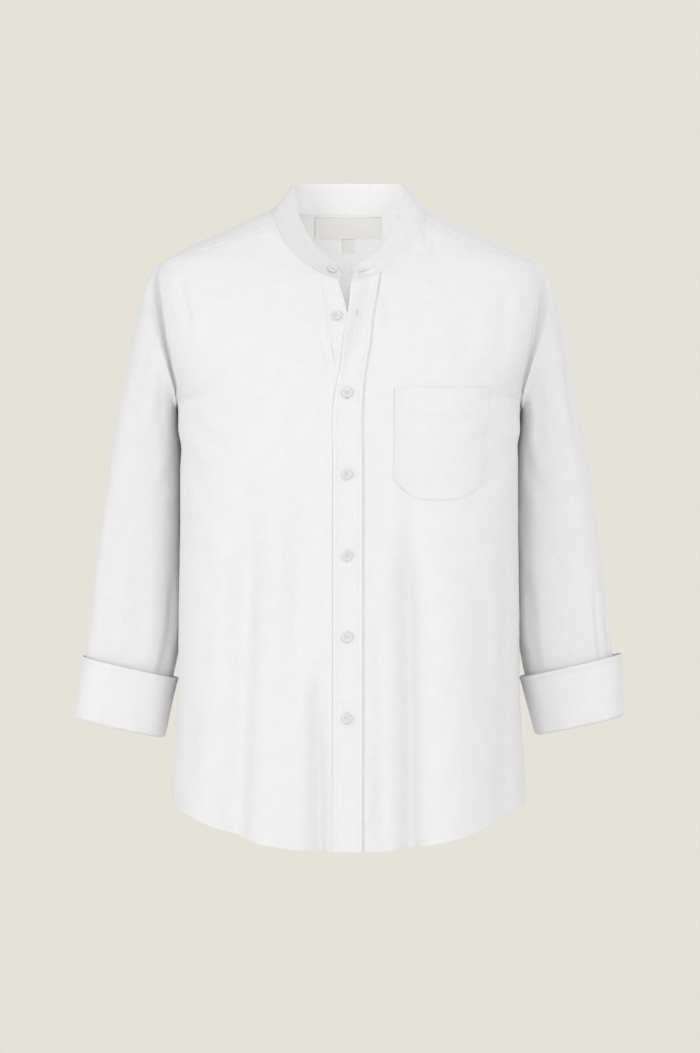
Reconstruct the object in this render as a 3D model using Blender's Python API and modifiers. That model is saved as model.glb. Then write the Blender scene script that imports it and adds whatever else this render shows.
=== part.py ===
"""Mandarin collar shirt, filled out as if worn, with nobody in it.

Z is up, the shirt faces -Y and its wearer's left is +X. The origin is on the centre line, level with the
points where the shoulders meet the neck: it is where the wearer's shoulders hold the shirt up.
The sizes are millimetres, and MM turns them into Blender's metres.
The body is one surface of horizontal sections. Each cloth piece is a grid of points cut out of that surface,
or out of a sleeve's, cuff's or collar's, and Solidify gives it a wall on the inside.
"""

import math

import bmesh
import bpy
import numpy as np
from mathutils import Matrix, Vector

MM = 0.001
SIDES = {"left": 1, "right": -1}


def table(names, *rows):
    """Columns by name, each an array with a value for every row."""
    return dict(zip(names.split(), np.array(rows, float).T))


# ---- driving sizes ------------------------------------------------------------------------------------

CLOTH = 1.2  # wall of one layer of cloth
BAND_CLOTH = 2.0  # wall of the folded and faced bands: the front bands and the collar
CUFF_CLOTH = 1.6
TRIM_CLOTH = 1.0  # pocket, label and tag
SEAM_GAP = 0.3  # between the edges of two pieces sewn together
NECK_SEAM_GAP = 1.6  # wider, because the collar's wall leans over the edge it is sewn to

NECK_HALF_WIDTH = 88
NECK_TOP = -3  # height of the neck seam at the sides and back
NECK_DROP = 87  # from there down to the centre front
NECK_POWER = 1.8

COLLAR_TOP_HALF_WIDTH = 64
COLLAR_TOP_Z = 26.5
COLLAR_TOP_DROP = 97.5
COLLAR_TOP_FRONT = 58  # how far its top edge is ahead of the origin, and behind it
COLLAR_TOP_BACK = 40
COLLAR_BACK_RISE = 5
COLLAR_END_X = {"left": 3.5, "right": 10}
COLLAR_END_RADIUS = 12

SHOULDER_Z = -63
ARMPIT_Z = -228
ARMHOLE_FRONT = math.radians(20)  # how far the armhole reaches round the body from its side
ARMHOLE_BACK = math.radians(24)

YOKE_NECK_Z = {"left": -16, "right": -25}  # where the front yoke seam meets the neck
YOKE_SAG = {"left": 6, "right": 1}

SIDE_HEM_Z = -682
HEM_DROP = 49
HEM_POWER = 2.4

# Horizontal sections of the worn body, from the hem up to the neck. "power" squares them off.
BODY = table(
    "z width front back power",
    (-760, 206, 117, 108, 2.6),
    (-682, 203, 117, 108, 2.6),
    (-555, 196, 116, 106, 2.6),
    (-452, 195, 116, 106, 2.6),
    (-337, 193.5, 116, 109, 2.6),
    (-268, 193, 115, 113, 2.6),
    (-216, 195, 111, 116, 2.65),
    (-180, 207, 105, 117, 2.7),
    (-140, 218, 95, 114, 2.7),
    (-102, 222, 81, 107, 2.7),
    (-76, 220, 71, 99, 2.6),
    (-63, 214, 66, 94, 2.5),
    (-50, 191, 60, 88, 2.4),
    (-35, 160, 54, 80, 2.3),
    (-22, 132, 48, 71, 2.2),
    (-10, 106, 42, 61, 2.2),
    (-3, 88, 38, 54, 2.2),
    (4, 79, 33, 45, 2.2),
)

# Edges of the two front bands, from the hem up. The edge is a band's free one, and the seam is where its
# front begins. Both lean away from the centre above the highest fastened button, where the front is undone.
BANDS = table(
    "z left_edge left_seam right_edge right_seam",
    (-760, -18, 14.6, 13.0, -16.5),
    (-300, -18, 14.6, 13.0, -16.5),
    (-228, -17.5, 14.6, 12.6, -16.2),
    (-208, -14, 16, 11, -16),
    (-186, -9.5, 19, 8, -17),
    (-163, -7.5, 23, 4, -20.5),
    (-126, -1.5, 27.5, -2.5, -26),
    (-108, 0.5, 31.0, -6.5, -28.5),
    (-88, 2.2, 34.0, -12.5, -31),
    (-60, 3, 37, -16, -34),
)
BAND_LIFT = 1.0  # the buttonhole band stands this far proud of the front
STAND_SINK = 1.6  # and the button band lies this far inside it
STAND_SINK_REACH = (30, 56)  # where the right front comes back out to the surface

# Long soft folds down the body. Depth is inward, and negative for a ridge.
BODY_FOLDS = table(
    "back x_top z_top x_low z_low half_width depth_top depth_low",
    (0, 66, -330, 70, -745, 20, 4, 10),
    (0, 112, -340, 122, -745, 26, -2, -4),
    (0, 166, -480, 174, -700, 17, 1, 4),
    (0, -104, -300, -138, -745, 21, 3, 7),
    (0, -72, -560, -88, -745, 22, -1, -4),
    (0, -38, -585, -36, -745, 12, 0, 7),
    (1, -96, -190, -112, -745, 24, 4, 9),
    (1, -30, -330, -34, -745, 26, -2, -5),
    (1, 38, -180, 30, -745, 22, 4, 8),
    (1, 118, -260, 128, -745, 26, 3, 9),
    (1, 80, -400, 82, -745, 22, -1, -4),
)
FOLD_LEAD_IN = 0.33  # share of a fold's length over which it deepens

# Rings of a sleeve: the points at its outer and inner sides, its middle's y, how much further back its inner
# side lies, behind the body, and its depth front to back.
SLEEVE = table(
    "along outer_x outer_z inner_x inner_z y skew half_depth",
    (0, 215, -63, 195, -229, 6, 0, 52),
    (14, 225, -71, 197, -231, 8, 1, 54),
    (44, 237, -100, 198, -233, 12, 5, 57),
    (86, 248.5, -141, 197.5, -238, 15, 12, 60),
    (128, 257, -182, 196, -252, 17, 20, 61),
    (176, 265, -229, 193.5, -278, 18, 26, 60),
    (234, 275, -287, 192.5, -322, 18, 28, 56),
    (298, 284, -350, 192.5, -378, 17, 28, 51),
    (364, 292.5, -416, 193, -440, 15, 27, 46),
    (424, 299, -475, 196, -498, 13, 23, 42),
    (460, 303, -510, 203, -536, 12, 20, 40),
    (500, 306, -548, 213, -572, 11, 17, 39),
)
SLEEVE_POWER = 2.25
SLEEVE_LENGTH = 500
ARMHOLE_FADE = 90  # along the sleeve, until its rings are their own and not the armhole's

# How deep the sleeve tucks in beside the armhole, by the angle round it from the shoulder towards the front.
TUCK = table(
    "angle depth",
    (0, 0),
    (30, 3),
    (60, 9),
    (95, 13),
    (140, 11),
    (165, 4),
    (180, 2),
    (200, 4),
    (235, 10),
    (280, 8),
    (330, 2),
    (360, 0),
)
TUCK_FROM = 2  # along the sleeve
TUCK_MIDDLE = 16
TUCK_REACH = 26

# The turned-back cuff of each side: its top edge and its fold, by their middles and half widths.
CUFF = table(
    "side top_x top_z top_half fold_x fold_z fold_half top_depth fold_depth",
    (1, 256.0, -526.7, 61.0, 266.0, -592.8, 53.0, 49, 45),
    (-1, 252.8, -529.0, 56.5, 264.8, -595.5, 53.5, 47, 45),
)
CUFF_TILT = math.radians(13.4)
CUFF_Y = 11
CUFF_SKEW = 17
CUFF_FOLD_RADIUS = 3.2
CUFF_HEIGHTS = (0.15, 0.55, 1)  # rings of its outer layer, from the fold to the top edge

POCKET_MIDDLE = (104, 101)  # x of its middle, at the mouth and at the foot
POCKET_HALF_WIDTH = (53, 51.5)
POCKET_TOP = -211
POCKET_CORNER_Z = -314
POCKET_FOOT = -337
POCKET_POWER = 3
POCKET_LIFT = 1.4

BUTTON_RADIUS = 5.7
BUTTON_THICKNESS = 2.4
BUTTON_RIM = 1.6
BUTTON_DISH = 0.5
BUTTON_CLEARANCE = 0.35
BUTTON_X = -2.2
FRONT_BUTTON_Z = -217.5
BUTTON_SPACING = 91
FRONT_BUTTONS = 5
STAND_BUTTON = (-14.2, -130)
COLLAR_BUTTON_X = 21.5  # and half way up the collar

LABEL = (-40, 38, -29.5, -6)  # left, right, foot and top
SIZE_TAG = (-8.5, 7, -45.5, -30.2)

# Grid steps. Panel edges share their steps with what is sewn to them.
ARMHOLE_STEPS = 20  # all round
YOKE_TURN = 1  # steps from the shoulder to the yoke's front seam, and to its back seam
BACK_YOKE_TURN = 3
SEAM_STEPS = 10  # from the neck to the armhole
BACK_STEPS = 16
BODY_ROWS = 12  # from hem to armpit
BAND_ROWS = 5  # of the fronts' rows from the armpit's up, those that end at a band and not at the neck
ARMPIT_ROW_RISE = 23  # how much higher the row at the armpit meets the front band
BESIDE_SEAM = 0.15  # lines beside the front yoke seam, as shares of the way to the shoulder's ridge
YOKE_LINES = (0, BESIDE_SEAM, 0.5)
YOKE_GAP_SHARE = 0.025
COLLAR_ROWS = 4
COLLAR_END_LINES = (0, 0.12, 0.35, 0.65, 1)
SLEEVE_ROWS = (0, 9, 18, 32, 54, 84, 122, 166, 216, 270, 328, 386, 434, 470, 500)

LINEN = ((0.84, 0.84, 0.835), 0.9)
SHELL = ((0.87, 0.865, 0.83), 0.35)
TAPE = ((0.83, 0.82, 0.77), 0.8)

# ---- curves and surfaces ------------------------------------------------------------------------------


def between(rows, column, at):
    """A column's value where the table's first column is at, on a smooth curve through the rows."""
    keys, values = next(iter(rows.values())), rows[column]
    slopes = np.gradient(values, keys)
    at = np.clip(np.asarray(at, float), keys[0], keys[-1])
    i = np.clip(np.searchsorted(keys, at) - 1, 0, len(keys) - 2)
    step = keys[i + 1] - keys[i]
    t = (at - keys[i]) / step
    rest = 1 - t
    return (
        rest**2 * (1 + 2 * t) * values[i]
        + t**2 * (3 - 2 * t) * values[i + 1]
        + step * t * rest * (rest * slopes[i] - t * slopes[i + 1])
    )


def ease(t):
    """From 0 to 1, level at both ends."""
    t = np.clip(t, 0, 1)
    return t * t * (3 - 2 * t)


def power(value, exponent):
    return np.sign(value) * np.abs(value) ** exponent


def mix(a, b, share):
    return a + (b - a) * share


def angle_at(x, z):
    """The angle round the body, from the centre front, where its front is at that x."""
    share = np.clip(np.abs(x) / between(BODY, "width", z), 0, 1)
    return np.sign(x) * np.arcsin(share ** (between(BODY, "power", z) / 2))


def fold_depth(x, z, back):
    """How far the long folds push the body inward there."""
    depth = np.zeros(np.broadcast(x, z).shape)
    for f in range(len(BODY_FOLDS["x_top"])):
        fold = {name: column[f] for name, column in BODY_FOLDS.items()}
        down = (z - fold["z_top"]) / (fold["z_low"] - fold["z_top"])
        middle = mix(fold["x_top"], fold["x_low"], down)
        deep = mix(fold["depth_top"], fold["depth_low"], np.clip(down, 0, 1))
        across = np.exp(-(((x - middle) / fold["half_width"]) ** 2))
        depth += np.where(back == bool(fold["back"]), deep * ease(down / FOLD_LEAD_IN) * across, 0)
    return depth


def worn_body(angle, z, sink=0):
    """The body's outside, at an angle round it (0 at the centre front, 90 degrees at the left) and a height."""
    angle, z = np.broadcast_arrays(np.asarray(angle, float), np.asarray(z, float))
    exponent = between(BODY, "power", z)
    across, ahead = np.sin(angle), np.cos(angle)
    back = ahead < 0
    width = between(BODY, "width", z)
    deep = np.where(back, between(BODY, "back", z), between(BODY, "front", z))
    x = width * power(across, 2 / exponent)
    y = -deep * power(ahead, 2 / exponent)
    inward_x = -power(x / width, exponent - 1) / width
    inward_y = -power(y / deep, exponent - 1) / deep
    moved = (sink + fold_depth(x, z, back)) / np.hypot(inward_x, inward_y)
    return np.stack([x + moved * inward_x, y + moved * inward_y, z], axis=-1)


def on_front(x, z, lift=0, inside_out=False):
    """A point of the front (or of the back, inside_out) at that x and height, moved out by lift."""
    x, z = np.broadcast_arrays(np.asarray(x, float), np.asarray(z, float))

    def surface(u, v):
        angle = angle_at(u, v)
        return worn_body(math.pi - angle if inside_out else angle, v)

    step = 0.4
    across = surface(x + step, z) - surface(x - step, z)
    up = surface(x, z + step) - surface(x, z - step)
    normal = np.cross(across, up)
    normal /= np.linalg.norm(normal, axis=-1, keepdims=True)
    return surface(x, z) + np.asarray(lift)[..., None] * (-normal if inside_out else normal)


def evenly(path, count):
    """count points at equal distances along a polyline, whatever its columns hold after x, y and z."""
    steps = np.linalg.norm(np.diff(path[:, :3], axis=0), axis=1)
    along = np.concatenate([[0], np.cumsum(steps)])
    at = np.linspace(0, along[-1], count)
    return np.stack([np.interp(at, along, column) for column in path.T], axis=1)


def body_path(angles, heights, count, sink=0):
    """Points at equal distances along the body, on the way through the angles and heights."""
    return evenly(worn_body(angles, heights, sink), count)


def neck_z(x):
    share = np.clip(1 - np.clip(np.abs(x) / NECK_HALF_WIDTH, 0, 1) ** NECK_POWER, 0, 1)
    return NECK_TOP - NECK_DROP * share ** (1 / NECK_POWER)


def neck_x(z):
    share = np.clip((NECK_TOP - z) / NECK_DROP, 0, 1)
    return NECK_HALF_WIDTH * (1 - share**NECK_POWER) ** (1 / NECK_POWER)


def hem_z(x):
    share = np.clip(np.abs(x) / between(BODY, "width", SIDE_HEM_Z), 0, 1)
    return SIDE_HEM_Z - HEM_DROP * (1 - share**HEM_POWER)


def armhole(turn):
    """Angle and height of the left armhole's edge. turn is 0 at the shoulder and 90 degrees at the front."""
    z = (SHOULDER_Z + ARMPIT_Z) / 2 + (SHOULDER_Z - ARMPIT_Z) / 2 * np.cos(turn)
    reach = np.where(np.sin(turn) > 0, ARMHOLE_FRONT, ARMHOLE_BACK)
    return math.pi / 2 - reach * np.sin(turn), z


def armhole_turn(steps):
    return math.tau * np.asarray(steps) / ARMHOLE_STEPS


def seam_side(z, towards):
    """The angle of the side seam's edge, just ahead of the side (towards 1) or behind it (-1)."""
    deep = between(BODY, "front" if towards > 0 else "back", z)
    return math.pi / 2 - towards * (SEAM_GAP / 2 / deep) ** (between(BODY, "power", z) / 2)


def yoke_line(side_name, share):
    """A line from the neck to the armhole, on the left: the front yoke seam at 0, the shoulder's ridge at 1."""
    top = YOKE_NECK_Z[side_name]
    far_angle, low = armhole(armhole_turn(YOKE_TURN))
    along = np.linspace(0, 1, 60)
    x = mix(neck_x(top), worn_body(far_angle, low)[0], along)
    z = mix(top, low, along) - YOKE_SAG[side_name] * np.sin(math.pi * along)
    angles = angle_at(x, z)
    angles[-1] = far_angle
    angles, z = mix(angles, math.pi / 2, share), mix(z, mix(NECK_TOP, SHOULDER_Z, along), share)
    near_neck = (1 - along) ** 2
    return angles + (angle_at(neck_x(z[0]), z[0]) - angles[0]) * near_neck, z


# ---- pieces, as grids of points with the rows going up ---------------------------------------------------


def seam_x(side_name, z):
    return np.abs(between(BANDS, side_name + "_seam", z)) + SEAM_GAP


def band_top_z(side_name):
    """Where a band's seam meets the neck."""
    heights = np.linspace(-100, -60, 400)
    return heights[np.argmin(np.abs(neck_z(seam_x(side_name, heights)) - heights))]


def band_side_heights(side_name):
    """Heights at which the front's rows, and its band's, meet their seam."""
    meets = ARMPIT_Z + ARMPIT_ROW_RISE
    low = np.linspace(hem_z(0), meets, BODY_ROWS + 1)[:-1]
    return np.append(low, np.linspace(meets, band_top_z(side_name), BAND_ROWS))


def front_neck_xs(side_name):
    """From the band's seam to the yoke's, where the front's rows end at the neck."""
    corner = seam_x(side_name, band_top_z(side_name))
    return np.linspace(corner, neck_x(YOKE_NECK_Z[side_name]), ARMHOLE_STEPS // 2 - YOKE_TURN - BAND_ROWS + 2)


def yoke_neck_angles():
    """Angles round the neck of the yoke's lines behind the shoulder's ridge."""
    return np.linspace(math.pi / 2, math.pi, BACK_YOKE_TURN + 1 + BACK_STEPS // 2)


def front_panel(side_name):
    """A front, from its band's seam to the side seam and the armhole."""
    side = SIDES[side_name]
    at_neck = front_neck_xs(side_name)[1:-1]
    inner_z = np.append(band_side_heights(side_name), neck_z(at_neck))
    inner_x = np.append(seam_x(side_name, band_side_heights(side_name)), at_neck)
    side_z = np.linspace(SIDE_HEM_Z, ARMPIT_Z, BODY_ROWS + 1)
    turns = np.arange(ARMHOLE_STEPS // 2 - 1, YOKE_TURN, -1)
    armhole_angle, armhole_z = armhole(armhole_turn(turns))
    outer_z = np.append(side_z, armhole_z)
    outer_angle = np.append(seam_side(side_z, 1), armhole_angle)
    share = np.linspace(0, 1, 120)
    rows = []
    for r in range(len(inner_z)):
        angles = mix(angle_at(inner_x[r], inner_z[r]), outer_angle[r], share)
        z = mix(inner_z[r], outer_z[r], share)
        x = worn_body(angles, z)[:, 0]
        z = z + ease(1 - r / BODY_ROWS) * (hem_z(x) - mix(hem_z(0), SIDE_HEM_Z, share))
        sink = 0
        if side_name == "right":
            sink = STAND_SINK * (1 - ease((x - STAND_SINK_REACH[0]) / np.ptp(STAND_SINK_REACH)))
        rows.append(body_path(side * angles, z, SEAM_STEPS + 1, sink))
    for beside in (-BESIDE_SEAM, -YOKE_GAP_SHARE):
        angles, z = yoke_line(side_name, beside)
        rows.append(body_path(side * angles, z, SEAM_STEPS + 1))
    grid = np.array(rows)
    return grid if side > 0 else grid[:, ::-1]


def back_panel():
    turns = armhole_turn(-np.arange(ARMHOLE_STEPS // 2, BACK_YOKE_TURN - 1, -1))
    armhole_angle, armhole_z = armhole(turns)
    outer_z = np.concatenate([np.linspace(SIDE_HEM_Z, ARMPIT_Z, BODY_ROWS + 1)[:-1], armhole_z])
    outer_angle = np.concatenate([seam_side(outer_z[:BODY_ROWS], -1), armhole_angle])
    outer_angle[BODY_ROWS] = seam_side(ARMPIT_Z, -1)
    outer_z[-1] -= SEAM_GAP
    share = np.linspace(-1, 1, 240)
    rows = []
    for r in range(len(outer_z)):
        angles = math.pi + share * (math.pi - outer_angle[r])
        z = np.full(share.shape, outer_z[r])
        x = worn_body(angles, z)[:, 0]
        z = z + ease(1 - r / BODY_ROWS) * (hem_z(x) - SIDE_HEM_Z)
        rows.append(body_path(angles, z, BACK_STEPS + 1))
    return np.array(rows)


def half_yoke(side_name):
    """The left half of the yoke, over the shoulder, from the front seam to the centre back."""
    edge_angles, edge_z = armhole(armhole_turn(-np.arange(BACK_YOKE_TURN + 1)))
    share = np.linspace(0, 1, 120)
    back_angles = mix(edge_angles[-1], math.pi, share)
    path = np.column_stack([worn_body(back_angles, edge_z[-1]), back_angles])
    across = evenly(path, BACK_STEPS // 2 + 1)[1:, 3]
    outer_angles = np.concatenate([edge_angles, across])
    outer_z = np.concatenate([edge_z, np.full(across.shape, edge_z[-1])])
    columns = [body_path(*yoke_line(side_name, beside), SEAM_STEPS + 1) for beside in YOKE_LINES]
    for angle_in, angle_out, z_out in zip(yoke_neck_angles(), outer_angles, outer_z):
        columns.append(body_path(mix(angle_in, angle_out, share), mix(NECK_TOP, z_out, share), SEAM_STEPS + 1))
    return np.array(columns)[:, ::-1].transpose(1, 0, 2)


def yoke():
    left, right = half_yoke("left"), mirrored(half_yoke("right"))
    return np.concatenate([left, right[:, 1:]], axis=1)


def mirrored(grid):
    """The grid on the other side of the centre, still facing out."""
    return (grid * (-1, 1, 1))[:, ::-1]


def front_band(side_name, lift):
    """A front band's strip, from the hem to the neck."""
    share = np.linspace(0, 1, 3)[None, :]
    top = np.zeros(share.shape)
    for _ in range(6):
        ends = [between(BANDS, side_name + column, top[0]) for column in ("_edge", "_seam")]
        top = neck_z(mix(ends[0], ends[1], share))
    rows = band_side_heights(side_name)[:, None]
    z = mix(hem_z(0), top, (rows - rows[0]) / np.ptp(rows))
    edge = between(BANDS, side_name + "_edge", z)
    seam = between(BANDS, side_name + "_seam", z)
    strip = on_front(mix(edge, seam, share), z, lift)
    return strip if side_name == "left" else strip[:, ::-1]


def collar_point(turn, up):
    """The collar at an angle round the neck from the centre front, and a share of its height."""
    ahead, across = np.cos(turn), np.abs(np.sin(turn))
    side = np.sign(np.sin(turn))
    front = ahead > 0
    bend = np.where(front, 2 / NECK_POWER, 2 / BODY["power"][-2])
    low_x = NECK_HALF_WIDTH * across**bend
    low_z = NECK_TOP - NECK_DROP * np.where(front, np.abs(ahead) ** bend, 0)
    low_front_y = on_front(low_x, low_z)[..., 1]
    low_back_y = between(BODY, "back", NECK_TOP) * np.abs(ahead) ** bend
    low_y = np.where(front, low_front_y, low_back_y)
    top_x = COLLAR_TOP_HALF_WIDTH * across**bend
    drop = np.where(front, COLLAR_TOP_DROP * np.abs(ahead) ** bend, -COLLAR_BACK_RISE * np.abs(ahead))
    top_z = COLLAR_TOP_Z - drop
    top_y = np.where(front, -COLLAR_TOP_FRONT, COLLAR_TOP_BACK) * np.abs(ahead)
    low = np.stack([side * low_x, low_y, low_z], axis=-1)
    top = np.stack([side * top_x, top_y, top_z], axis=-1)
    height = np.linalg.norm(top - low, axis=-1)
    return mix(low, top, (NECK_SEAM_GAP / height + (1 - NECK_SEAM_GAP / height) * up)[..., None])


def neck_turn(x):
    """The angle round the neck, from the centre front, of a point of its front half."""
    return np.arcsin((x / NECK_HALF_WIDTH) ** (NECK_POWER / 2))


def half_collar_turns(side_name):
    """Angles round the neck of the collar's lines, from its rounded end to the back, and how high each goes."""
    end = neck_turn(COLLAR_END_X[side_name])
    fine = np.linspace(end, math.pi / 2, 300)
    edge = collar_point(fine, np.ones(300))
    along = np.append(0, np.cumsum(np.linalg.norm(np.diff(edge, axis=0), axis=1)))
    from_end = np.array(COLLAR_END_LINES) * COLLAR_END_RADIUS
    lost = COLLAR_END_RADIUS - np.sqrt(COLLAR_END_RADIUS**2 - (COLLAR_END_RADIUS - from_end) ** 2)
    height = np.linalg.norm(collar_point(end, 1) - collar_point(end, 0))
    sewn_z = [yoke_line(side_name, share)[1][0] for share in YOKE_LINES[1:]]
    sewn_x = np.append(front_neck_xs(side_name), neck_x(np.array(sewn_z)))
    turns = np.concatenate([np.interp(from_end, along, fine), neck_turn(sewn_x), yoke_neck_angles()])
    full = np.append(1 - lost / height, np.ones(len(turns) - len(from_end)))
    return turns, full


def collar():
    """The stand collar, from its left end round the back of the neck to its right end."""
    left, left_full = half_collar_turns("left")
    right, right_full = half_collar_turns("right")
    turn = np.append(left, (math.tau - right)[::-1][1:])[None, :]
    full = np.append(left_full, right_full[::-1][1:])[None, :]
    up = np.linspace(0, 1, COLLAR_ROWS)[:, None] * full
    return collar_point(turn + 0 * up, up)


def sleeve_point(turn, along):
    """The left sleeve's outside. turn goes from its outer side to its front, and along down from the shoulder."""
    turn, along = np.broadcast_arrays(np.asarray(turn, float), np.asarray(along, float))
    at = {name: between(SLEEVE, name, along) for name in list(SLEEVE)[1:]}
    outward = power(np.cos(turn), 2 / SLEEVE_POWER)
    ahead = power(np.sin(turn), 2 / SLEEVE_POWER)
    x = mix(at["inner_x"], at["outer_x"], (1 + outward) / 2)
    z = mix(at["inner_z"], at["outer_z"], (1 + outward) / 2)
    y = at["y"] + at["skew"] * (1 - outward) / 2 - at["half_depth"] * ahead
    ring = np.stack([x, y, z], axis=-1)
    first_x = mix(SLEEVE["inner_x"][0], SLEEVE["outer_x"][0], (1 + outward) / 2)
    first_z = mix(SLEEVE["inner_z"][0], SLEEVE["outer_z"][0], (1 + outward) / 2)
    first = np.stack([first_x, SLEEVE["y"][0] - SLEEVE["half_depth"][0] * ahead, first_z], axis=-1)
    edge = worn_body(*armhole(turn)) + (SEAM_GAP, 0, 0)
    ring = ring + (edge - first) * (1 - ease(along / ARMHOLE_FADE))[..., None]
    degrees = np.degrees(turn) % 360
    nearness = ease((along - TUCK_FROM) / TUCK_MIDDLE) * (1 - ease((along - TUCK_MIDDLE) / TUCK_REACH))
    tuck = between(TUCK, "depth", degrees) * nearness
    return ring + np.stack([-0.45 * outward * tuck, ahead * tuck, 0 * tuck], axis=-1)


def ring_turns():
    return armhole_turn(np.arange(ARMHOLE_STEPS))[None, :]


def sleeve():
    return sleeve_point(ring_turns(), np.array(SLEEVE_ROWS, float)[:, None])


def cuff(side):
    """A turned-back cuff: down from the sleeve's end inside, round the fold, and up outside to its top edge."""
    row = {name: column[CUFF["side"] == side][0] for name, column in CUFF.items()}
    turn = ring_turns()
    outward = power(np.cos(turn), 2 / SLEEVE_POWER)
    ahead = power(np.sin(turn), 2 / SLEEVE_POWER)

    def ring(height, inset):
        """height is 0 at the fold and 1 at the top edge, and inset is towards the cuff's middle."""
        half = mix(row["fold_half"], row["top_half"], height) - inset
        deep = mix(row["fold_depth"], row["top_depth"], height) - inset
        x = mix(row["fold_x"], row["top_x"], height) + half * outward * math.cos(CUFF_TILT)
        z = mix(row["fold_z"], row["top_z"], height) + half * outward * math.sin(CUFF_TILT)
        y = CUFF_Y + CUFF_SKEW * (1 - outward) / 2 - deep * ahead
        return np.stack([x, y, z], axis=-1)

    length = math.hypot(row["top_x"] - row["fold_x"], row["top_z"] - row["fold_z"])
    radius = CUFF_FOLD_RADIUS
    inner = ring(0, 2 * radius)
    start = sleeve_point(turn, np.full(turn.shape, float(SLEEVE_LENGTH)))
    middle = start.mean(axis=1, keepdims=True)
    to_middle = (middle - start) / np.linalg.norm(middle - start, axis=-1, keepdims=True)
    down = (inner - start).mean(axis=1, keepdims=True)
    down /= np.linalg.norm(down)
    start = start + CUFF_CLOTH * to_middle + SEAM_GAP * down
    rows = [start, mix(start, inner, 0.6), inner]
    for bend in np.radians((45, 90, 135)):
        rows.append(ring(-radius * math.sin(bend) / length, radius + radius * math.cos(bend)))
    rows += [ring(height, 0) for height in (0.0,) + CUFF_HEIGHTS]
    return np.concatenate(rows)[:, ::-1]


def pocket():
    """The patch pocket, from its rounded foot to its mouth."""
    across = np.linspace(-1, 1, 11)[None, :]
    up = np.linspace(0, 1, 6)[:, None]
    foot = POCKET_CORNER_Z - (POCKET_CORNER_Z - POCKET_FOOT) * (1 - np.abs(across) ** POCKET_POWER)
    z = mix(foot, POCKET_TOP, up)
    x = mix(POCKET_MIDDLE[1], POCKET_MIDDLE[0], up) + mix(*POCKET_HALF_WIDTH[::-1], up) * across
    return on_front(x, z, POCKET_LIFT)


def patch_inside_back(left, right, foot, top, depth):
    """A flat patch on the inside of the yoke, facing forward."""
    x = np.linspace(left, right, 5)[None, :]
    z = np.linspace(foot, top, 3)[:, None]
    return on_front(x, z, -depth, inside_out=True)


# ---- objects --------------------------------------------------------------------------------------------


def empty_scene():
    for thing in list(bpy.data.objects):
        bpy.data.objects.remove(thing)


def material(name, look):
    colour, roughness = look
    finish = bpy.data.materials.new(name)
    finish.use_nodes = True
    shader = finish.node_tree.nodes["Principled BSDF"]
    shader.inputs["Base Color"].default_value = (*colour, 1)
    shader.inputs["Roughness"].default_value = roughness
    shader.inputs["Metallic"].default_value = 0
    return finish


def add(name, mesh, look, collection):
    piece = bpy.data.objects.new(name, mesh)
    mesh.materials.append(material(name, look))
    mesh.shade_smooth()
    collection.objects.link(piece)
    return piece


def cloth(name, grid, collection, wall=CLOTH, look=LINEN, ring=False):
    """A piece cut from cloth: the grid is its outside, and its wall is on the inner side."""
    sheet = bmesh.new()
    points = [[sheet.verts.new(Vector(point) * MM) for point in row] for row in grid]
    columns = len(points[0])
    for low, high in zip(points, points[1:]):
        for c in range(columns if ring else columns - 1):
            d = (c + 1) % columns
            sheet.faces.new((low[c], low[d], high[d], high[c]))
    mesh = bpy.data.meshes.new(name)
    sheet.to_mesh(mesh)
    sheet.free()
    piece = add(name, mesh, look, collection)
    thicken = piece.modifiers.new("wall", "SOLIDIFY")
    thicken.thickness = wall * MM
    thicken.offset = -1
    return piece


def button_profile():
    """Half of a button's section, from the middle of its dished face round to the middle of its underside."""
    rim, radius, thick = BUTTON_RIM, BUTTON_RADIUS, BUTTON_THICKNESS
    return (
        (0, thick - BUTTON_DISH),
        (radius - rim - 0.7, thick - BUTTON_DISH),
        (radius - rim, thick),
        (radius - 0.6, thick),
        (radius, thick / 2),
        (radius - 0.8, 0),
        (0, 0),
    )


def button(name, seat, towards, collection):
    """A button standing on its seat and facing towards."""
    mesh = bpy.data.meshes.new(name)
    profile = [(r * MM, 0, z * MM) for r, z in button_profile()]
    mesh.from_pydata(profile, [(i, i + 1) for i in range(len(profile) - 1)], [])
    piece = add(name, mesh, SHELL, collection)
    turned = piece.modifiers.new("turned", "SCREW")
    turned.steps = turned.render_steps = 18
    turned.use_merge_vertices = True
    turned.merge_threshold = 0.0001
    upright = Vector(towards).to_track_quat("Z", "Y").to_matrix().to_4x4()
    piece.matrix_world = Matrix.Translation(Vector(seat) * MM) @ upright
    return piece


def facing(surface, u, v):
    """Outward direction of a surface at a point of it."""
    step = 1.0
    normal = np.cross(surface(u + step, v) - surface(u - step, v), surface(u, v + step) - surface(u, v - step))
    return normal / np.linalg.norm(normal)


def front_buttons(collection):
    """The five that are fastened, on the buttonhole band, and the undone one, on the button band."""
    places = [("button_1", *STAND_BUTTON, -STAND_SINK)]
    for n in range(FRONT_BUTTONS):
        places.append((f"button_{n + 2}", BUTTON_X, FRONT_BUTTON_Z - n * BUTTON_SPACING, BAND_LIFT))
    for name, x, z, lift in places:
        seat = on_front(x, z, lift + BUTTON_CLEARANCE)
        button(name, seat, facing(on_front, x, z), collection)


def collar_button(collection):
    turn = -math.asin((COLLAR_BUTTON_X / NECK_HALF_WIDTH) ** (NECK_POWER / 2))

    def surface(degrees, percent):
        return collar_point(np.radians(degrees), percent / 100)

    out = facing(surface, math.degrees(turn), 50)
    button("button_collar", surface(math.degrees(turn), 50) + BUTTON_CLEARANCE * out, out, collection)


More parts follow.
